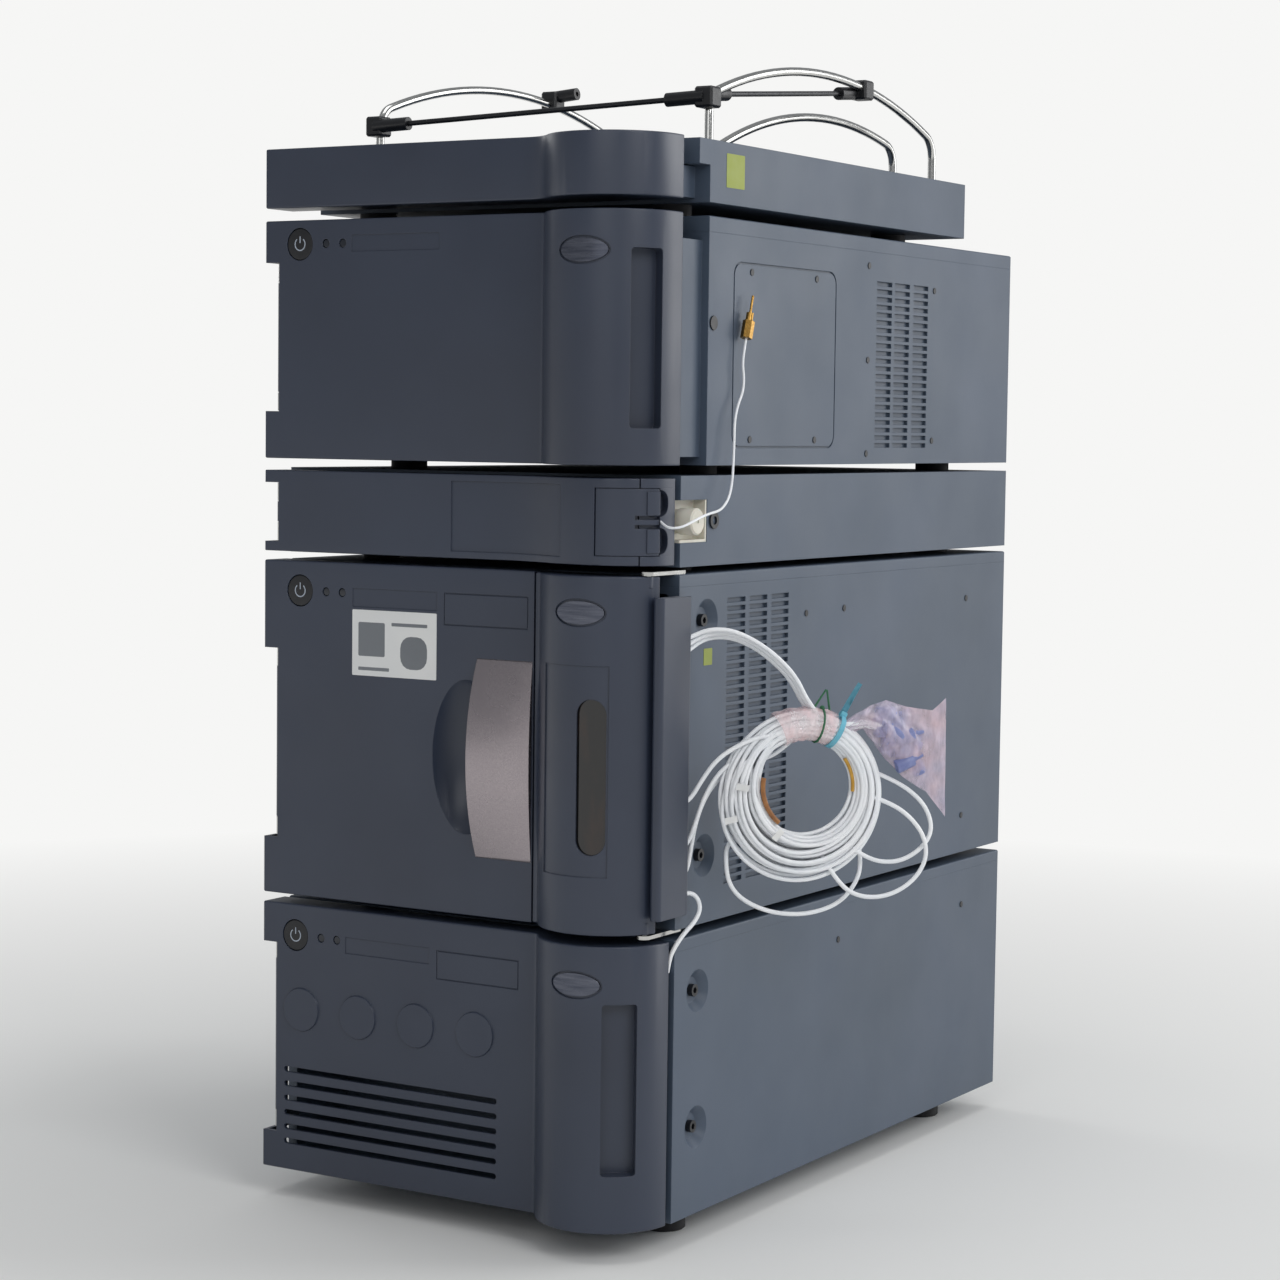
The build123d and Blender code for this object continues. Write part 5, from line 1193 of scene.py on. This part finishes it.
@dataclass
class FilmBag:
    """A film bag gathered at its neck, with small filters in it and a pointed tail.

    Attributes:
        upper: its upper edge from neck to mouth, millimetres right and up in the coil's plane.
        lower: its lower edge.
        depth: how thick it is where it is full.
        folds: steps of each sheet's mesh.
        mouth: share of its length where it starts to flatten towards its mouth.
        filters: how many filters lie in it.
        first_filter: place of the first, right and up in millimetres.
        last_filter: place of the last.
        body: radius and length of a filter.
        stub: radius and length of its outlet.
    """

    bundle: Bundle = field(default_factory=Bundle)
    upper: tuple[tuple[float, float], ...] = (
        (24, 46),
        (40, 57),
        (50, 62),
        (62, 66),
        (78, 61),
        (98, 58),
        (108, 67),
    )
    lower: tuple[tuple[float, float], ...] = (
        (28, 38),
        (45, 45),
        (53, 36),
        (62, 23),
        (75, 11),
        (94, 0),
        (109, -20),
    )
    depth: float = 18.0
    folds: int = 60
    mouth: float = 0.8
    filters: int = 15
    first_filter: tuple[float, float] = (62.0, 50.0)
    last_filter: tuple[float, float] = (82.0, 22.0)
    body: tuple[float, float] = (5.2, 14.0)
    stub: tuple[float, float] = (2.4, 8.0)

    def build(self) -> list[bpy.types.Object]:
        """Makes the film and what it holds."""
        return [self._film(), *self._filters()]

    @staticmethod
    def _along(edge: Sequence[tuple[float, float]], share: float) -> Vector:
        """A place a share of the way along an edge."""
        spot = share * (len(edge) - 1)
        low = min(int(spot), len(edge) - 2)
        return Vector(edge[low]).lerp(Vector(edge[low + 1]), spot - low)

    def _film(self) -> bpy.types.Object:
        """Two crumpled sheets that meet at the edges."""
        shape = bmesh.new()
        bmesh.ops.create_grid(shape, x_segments=self.folds, y_segments=self.folds, size=0.5)
        back = bmesh.ops.duplicate(shape, geom=shape.faces[:])["geom"]
        rear = {item for item in back if isinstance(item, bmesh.types.BMVert)}
        for vertex in shape.verts:
            along, rise = vertex.co.x + 0.5, vertex.co.y + 0.5
            flat = self._along(self.lower, along).lerp(self._along(self.upper, along), rise)
            full = sin(pi * rise) ** 0.6 * (0.35 + 0.75 * sin(pi * min(1.0, along * 1.25)) ** 0.8)
            if along > self.mouth:
                full *= (1 - along) / (1 - self.mouth)
            crease = (
                0.9 * sin(26 * along + 7 * rise + 2 * sin(9 * rise))
                + 0.7 * sin(17 * rise * (1.3 - along) + 4 * along)
                + 0.5 * sin(41 * along - 23 * rise)
            )
            side = -1 if vertex in rear else 1
            out = side * (self.depth / 2 * full) + crease * min(1.0, full * 2 + 0.25)
            vertex.co = self.bundle.flat(flat.x, flat.y + 0.8 * sin(14 * along) * (1 - rise), out)
        film = keep(shape, "film_bag", FILM, ROOT_BODY)
        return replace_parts(film, "filter_bag")

    def _filters(self) -> list[bpy.types.Object]:
        """Small moulded filters lying together in the bag."""
        made = []
        for index in range(self.filters):
            share = index / (self.filters - 1)
            middle = Vector(self.first_filter).lerp(Vector(self.last_filter), share)
            right, up = middle.x + 6.5 * sin(2.4 * index), middle.y + 6.0 * cos(2.4 * index)
            lean, depth = 137 * index % 180, 3.2 * sin(1.7 * index)
            shape = bmesh.new()
            add_cone(shape, 24, self.body[0], self.body[0] - 0.2, self.body[1])
            stub = add_cone(shape, 16, self.stub[0], self.stub[0] - 0.6, self.stub[1])
            bmesh.ops.translate(shape, vec=(0, 0, (self.body[1] + self.stub[1]) / 2 * MM), verts=stub)
            rims = [edge for edge in shape.edges if abs(edge.verts[0].co.z - edge.verts[1].co.z) < 1e-6]
            bmesh.ops.bevel(
                shape, geom=rims, offset=0.5 * MM, segments=2, profile=0.5, affect="EDGES", material=-1
            )
            out = Vector(self.bundle.sideways)
            across = Vector(self.bundle.across)
            way = (across * cos(radians(lean)) + Vector((0, 0, sin(radians(lean))))).normalized()
            axes = Matrix((out, way.cross(out), way)).transposed().to_4x4()
            place = Matrix.Translation(self.bundle.flat(right, up, depth))
            bmesh.ops.transform(shape, matrix=place @ axes, verts=shape.verts)
            made.append(keep(shape, f"bagged_filter_{index + 1}", CONTENTS, ROOT_BODY))
        return made


@dataclass
class FilmWrap:
    """Thin film wound round the bundle beside the ties, gathered into soft folds.

    Attributes:
        bundle: the ring that it is on.
        start: degrees on the ring where it begins.
        end: degrees where it ends.
        radius: its radius under the folds, in millimetres.
        steps: steps along it.
        sides: steps round it.
    """

    bundle: Bundle = field(default_factory=Bundle)
    start: float = 66.0
    end: float = 112.0
    radius: float = 11.4
    steps: int = 44
    sides: int = 48

    def build(self) -> bpy.types.Object:
        """Makes the sleeve of film round the bundle."""
        shape = bmesh.new()
        rings = []
        for index in range(self.steps + 1):
            share = index / self.steps
            angle = radians(self.start + (self.end - self.start) * share)
            ring = bmesh.ops.create_circle(shape, segments=self.sides, radius=1.0)["verts"]
            for vertex in ring:
                turn = 3 * vertex.co.x + 2 * vertex.co.y
                fold = (
                    0.35 * sin(9 * turn + 13 * share)
                    + 0.3 * sin(31 * share + 4 * vertex.co.y)
                    + 0.2 * sin(17 * turn)
                )
                vertex.co *= (self.radius + 0.9 + fold - 0.5 * sin(pi * share)) * MM
            bmesh.ops.transform(shape, matrix=self.bundle.section(angle), verts=ring)
            rings.append(ring)
        bridge(shape, rings)
        return keep(shape, "film_wrap", WRAP, ROOT_BODY)


# ---------------------------------------------------------------- plates, labels and marks
FRONT_AXES = Matrix(((1, 0, 0), (0, 0, -1), (0, 1, 0)))
RIGHT_AXES = Matrix(((0, 0, 1), (1, 0, 0), (0, 1, 0)))


class Face(Enum):
    """Which way a flat piece faces."""

    FRONT = "front"
    RIGHT = "right"


@dataclass
class Plate:
    """A thin flat piece stuck on a front or a right side.

    Attributes:
        name: the piece's name.
        finish: what it is made of.
        face: the way it faces.
        surface: y of the front or x of the side that it lies on, in millimetres.
        low: its lower left corner on that face, in millimetres.
        high: its upper right corner.
        body: the body that it rides on.
        rise: how thick it is.
        corner: radius of its corners.
    """

    name: str
    finish: Finish
    face: Face
    surface: float
    low: tuple[float, float]
    high: tuple[float, float]
    body: str
    rise: float = 0.25
    corner: float = 0.8

    def build(self) -> bpy.types.Object:
        """Makes the plate in its own plane and turns it onto its face."""
        shape = bmesh.new()
        grid = bmesh.ops.create_grid(shape, x_segments=1, y_segments=1, size=0.5)["verts"]
        width, height = self.high[0] - self.low[0], self.high[1] - self.low[1]
        bmesh.ops.scale(shape, vec=(width * MM, height * MM, 1), verts=grid)
        bmesh.ops.bevel(
            shape,
            geom=shape.verts[:],
            offset=self.corner * MM,
            segments=4,
            profile=0.5,
            affect="VERTICES",
            material=-1,
        )
        middle = ((self.low[0] + self.high[0]) / 2, (self.low[1] + self.high[1]) / 2)
        if self.face is Face.FRONT:
            axes = FRONT_AXES
            place = (middle[0], self.surface + 0.05, middle[1])
        else:
            axes = RIGHT_AXES
            place = (self.surface - 0.05, middle[0], middle[1])
        stand_off(shape, self.rise, axes, metres(place))
        return keep(shape, self.name, self.finish, self.body)


@dataclass
class PowerMark:
    """The usual power sign on a push button: an open ring with a bar.

    Attributes:
        module: first word of the button's name.
        x: middle of the button, in millimetres.
        z: middle of the button.
        surface: y of the button's face.
        radius: radius of the open ring.
        line: width of its lines.
        gap: degrees from the top to each end of the ring.
        rise: how thick it is.
    """

    module: str
    x: float
    z: float
    surface: float
    radius: float = 4.6
    line: float = 0.85
    gap: float = 38.0
    rise: float = 0.12

    def build(self) -> bpy.types.Object:
        """Makes the sign on its button."""
        shape = bmesh.new()
        turn = radians(360 - 2 * self.gap)
        inner, outer = (self.radius - self.line / 2) * MM, (self.radius + self.line / 2) * MM
        start = radians(90 + self.gap)
        ends = [shape.verts.new((r * cos(start), r * sin(start), 0)) for r in (inner, outer)]
        bar = shape.edges.new(ends)
        bmesh.ops.spin(shape, geom=[*ends, bar], axis=(0, 0, 1), cent=(0, 0, 0), angle=turn, steps=36)
        stem = bmesh.ops.create_grid(shape, x_segments=1, y_segments=1, size=0.5)["verts"]
        bmesh.ops.scale(shape, vec=(self.line * MM, 5.0 * MM, 1), verts=stem)
        bmesh.ops.translate(shape, vec=(0, 3.4 * MM, 0), verts=stem)
        stand_off(shape, self.rise, FRONT_AXES, metres((self.x, self.surface + 0.02, self.z)))
        return keep(shape, f"{self.module}_power_sign", PRINT_PALE, f"{self.module}_button")


# ---------------------------------------------------------------- the whole object
UPPER_A: tuple[Point, ...] = (
    (174.6, -246.0, 438.0),
    (178.3, -236.7, 441.8),
    (186.6, -229.9, 445.5),
    (197.6, -221.4, 445.2),
    (209.6, -211.4, 439.0),
    (221.6, -199.4, 428.0),
    (232.6, -187.4, 412.0),
    (239.6, -180.4, 392.0),
)
UPPER_B: tuple[Point, ...] = (
    (174.6, -246.0, 433.0),
    (176.5, -235.0, 437.5),
    (183.0, -226.5, 442.0),
    (194.0, -218.0, 442.5),
    (206.0, -208.0, 437.0),
    (218.0, -196.0, 426.0),
    (229.0, -184.0, 410.0),
    (236.0, -177.0, 390.0),
)
UPPER_C: tuple[Point, ...] = (
    (174.6, -246.0, 428.0),
    (174.7, -233.3, 433.2),
    (179.4, -223.1, 438.5),
    (190.4, -214.6, 439.8),
    (202.4, -204.6, 435.0),
    (214.4, -192.6, 424.0),
    (225.4, -180.6, 408.0),
    (232.4, -173.6, 388.0),
)
LOWER_D: tuple[Point, ...] = (
    (174.6, -246.0, 322.0),
    (178.5, -240.4, 325.6),
    (185.1, -236.8, 339.2),
    (193.1, -230.3, 353.8),
    (204.1, -221.3, 363.4),
    (216.1, -209.8, 369.9),
    (227.1, -198.8, 370.4),
)
LOWER_E: tuple[Point, ...] = (
    (174.6, -246.0, 290.0),
    (176.0, -239.0, 294.0),
    (179.0, -234.0, 308.0),
    (184.0, -230.0, 328.0),
    (192.5, -222.5, 346.0),
    (204.0, -211.0, 356.0),
    (216.0, -198.5, 360.0),
)
LOWER_F: tuple[Point, ...] = (
    (174.6, -246.0, 270.0),
    (175.5, -239.0, 274.0),
    (174.3, -232.4, 288.0),
    (176.3, -228.9, 310.0),
    (182.3, -221.9, 331.0),
    (192.3, -211.4, 345.0),
    (203.8, -198.9, 352.0),
    (214.8, -186.9, 353.0),
)
LOOP_LOW: tuple[Point, ...] = (
    (205.5, -206.9, 309.4),
    (192.4, -212.2, 294.0),
    (192.4, -213.7, 278.0),
    (194.9, -212.7, 263.0),
    (201.9, -204.7, 251.0),
    (216.9, -189.2, 241.5),
    (234.9, -170.2, 239.5),
    (250.9, -153.2, 246.0),
    (259.9, -143.2, 260.0),
    (263.4, -140.2, 276.0),
    (260.9, -142.2, 292.0),
)
LOOP_RIGHT_A: tuple[Point, ...] = (
    (256.9, -162.6, 295.1),
    (268.5, -146.0, 280.0),
    (284.0, -129.0, 276.0),
    (296.5, -115.5, 284.0),
    (303.5, -107.5, 298.0),
    (300.0, -110.0, 315.0),
    (291.0, -118.5, 328.0),
    (279.0, -131.5, 338.0),
    (268.0, -142.5, 344.0),
)
LOOP_RIGHT_B: tuple[Point, ...] = (
    (246.2, -171.0, 284.3),
    (257.4, -165.6, 263.0),
    (269.4, -152.1, 252.5),
    (284.4, -136.1, 253.5),
    (296.9, -122.6, 264.0),
    (303.4, -115.6, 280.0),
    (301.4, -117.6, 297.0),
    (292.9, -126.1, 311.5),
    (282.4, -137.1, 321.0),
    (272.4, -146.6, 325.5),
)
DRAIN: tuple[Point, ...] = (
    (174.6, -246.0, 258.0),
    (176.5, -238.0, 259.5),
    (180.5, -232.5, 255.5),
    (182.5, -231.0, 247.0),
    (181.0, -236.0, 238.5),
    (177.0, -244.0, 231.0),
    (174.0, -250.3, 223.0),
    (169.5, -251.8, 213.5),
    (167.8, -251.5, 203.0),
)
CAPILLARY: tuple[Point, ...] = (
    (168.6, -270.0, 521.5),
    (174.0, -273.5, 518.8),
    (180.0, -274.5, 517.2),
    (185.5, -270.0, 518.0),
    (188.0, -260.0, 521.5),
    (188.3, -247.0, 525.0),
    (187.5, -233.0, 527.2),
    (186.0, -221.0, 528.2),
    (184.5, -211.0, 530.5),
    (183.0, -200.0, 537.0),
    (181.5, -193.0, 548.0),
    (180.0, -189.0, 563.0),
    (179.0, -186.5, 579.0),
    (178.5, -185.5, 592.0),
    (178.0, -180.5, 603.0),
    (177.7, -173.0, 612.0),
    (177.6, -171.0, 622.0),
    (177.6, -173.5, 632.0),
    (177.6, -172.0, 641.0),
    (177.6, -169.0, 651.0),
)


def solvent_lines() -> tuple[Line, ...]:
    """Every tube with its route."""
    return (
        Line("line_a", "upper_lines", UPPER_A, Lay.COILED, 48),
        Line("line_b", "upper_lines", UPPER_B, Lay.COILED, 50),
        Line("line_c", "upper_lines", UPPER_C, Lay.COILED, 52),
        Line("line_d", "lower_lines", LOWER_D, Lay.COILED, 92),
        Line("line_e", "lower_lines", LOWER_E, Lay.COILED, 90),
        Line("line_f", "lower_lines", LOWER_F, Lay.COILED, 88),
        Line("loop_low", "loose_turns", LOOP_LOW),
        Line("loop_right_a", "loose_turns", LOOP_RIGHT_A),
        Line("loop_right_b", "loose_turns", LOOP_RIGHT_B),
        Line("drain_line", "drain_line", DRAIN),
        Line("capillary", "capillary", CAPILLARY, diameter=1.8),
    )


FRONT_Y = -279.0
RIGHT_X = 171.5
STICKER_RISE = 0.22
STICKER_PRINT: tuple[tuple[str, tuple[float, float], tuple[float, float], float], ...] = (
    ("sticker_block", (-84, 416), (-60, 441), 1.2),
    ("sticker_disc", (-46, 408), (-22, 432), 9.0),
    ("sticker_line_high", (-54, 439), (-22, 441.5), 0.5),
    ("sticker_line_low", (-84, 405.5), (-56, 408), 0.5),
)


def front_plates() -> tuple[Plate, ...]:
    """Labels and their plain marks on the sampler's door and the right side, all bare."""
    low, high = (-89.6, 401.5), (-13.8, 450.0)
    sticker = Plate("door_sticker", LABEL_WHITE, Face.FRONT, FRONT_Y, low, high, "sampler_door")
    printed = tuple(
        Plate(name, PRINT_GREY, Face.FRONT, FRONT_Y - STICKER_RISE, low, high, "sampler_door", 0.05, corner)
        for name, low, high, corner in STICKER_PRINT
    )
    labels = tuple(
        Plate(name, LABEL_LIME, Face.RIGHT, RIGHT_X, low, high, ROOT_BODY)
        for name, low, high in (
            ("tray_label", (-190.0, 757.0), (-164.0, 781.0)),
            ("sampler_side_label", (-213.0, 418.0), (-201.0, 430.0)),
        )
    )
    return (sticker, *printed, *labels)


def power_marks() -> tuple[PowerMark, ...]:
    """The signs on the three push buttons."""
    return (
        PowerMark("pump", -141.5, 202.0, -278.7),
        PowerMark("sampler", -138.5, 461.9, -278.7),
        PowerMark("detector", -140.0, 718.2, -278.7),
    )


@dataclass
class ChromatographyStack:
    """The whole object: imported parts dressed, tubing, trim, bag and plates."""

    cabinet: Cabinet = field(default_factory=Cabinet)
    tubing: Tubing = field(default_factory=lambda: Tubing(lines=solvent_lines()))
    trim: CoilTrim = field(default_factory=CoilTrim)
    bag: FilmBag = field(default_factory=FilmBag)
    plates: tuple[Plate, ...] = field(default_factory=front_plates)
    marks: tuple[PowerMark, ...] = field(default_factory=power_marks)

    def build(self, nodes: dict[str, bpy.types.Object]) -> None:
        self.cabinet.build(nodes)
        tubes = self.tubing.build()
        for line in self.tubing.lines:
            if line.lay is Lay.COILED:
                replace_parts(tubes[line.name], "tubing_coil")
        on_coil = self.trim.build() + self.bag.build() + self._sleeves() + [FilmWrap().build()]
        for plate in self.plates:
            plate.build()
        for mark in self.marks:
            mark.build()
        self._declare(tubes, on_coil, nodes)

    @staticmethod
    def _sleeves() -> list[bpy.types.Object]:
        """The two marker sleeves inside the coil."""
        return [
            MarkerSleeve("brown_sleeve", MARKER_BROWN, 158, 226, -10.2, 5.0).build(),
            MarkerSleeve("amber_sleeve", MARKER_YELLOW, 2, 40, -10.4, 4.0, diameter=2.6).build(),
        ]

    @staticmethod
    def _declare(
        tubes: dict[str, bpy.types.Object],
        on_coil: Iterable[bpy.types.Object],
        nodes: dict[str, bpy.types.Object],
    ) -> None:
        """Finds the centre line of each tube's own spline, and does nothing more with it."""
        for name, tube in tubes.items():
            path = centreline(tube)


def main() -> None:
    """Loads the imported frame, builds the scene on it and reports each piece."""
    logging.basicConfig(level=logging.INFO, format="%(name)s: %(message)s")
    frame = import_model()
    bpy.context.scene.view_settings.view_transform = "Standard"
    CameraRig().build()
    Studio().build()
    ChromatographyStack().build(frame["nodes"])
    bpy.context.view_layer.update()


if __name__ == "__main__":
    main()
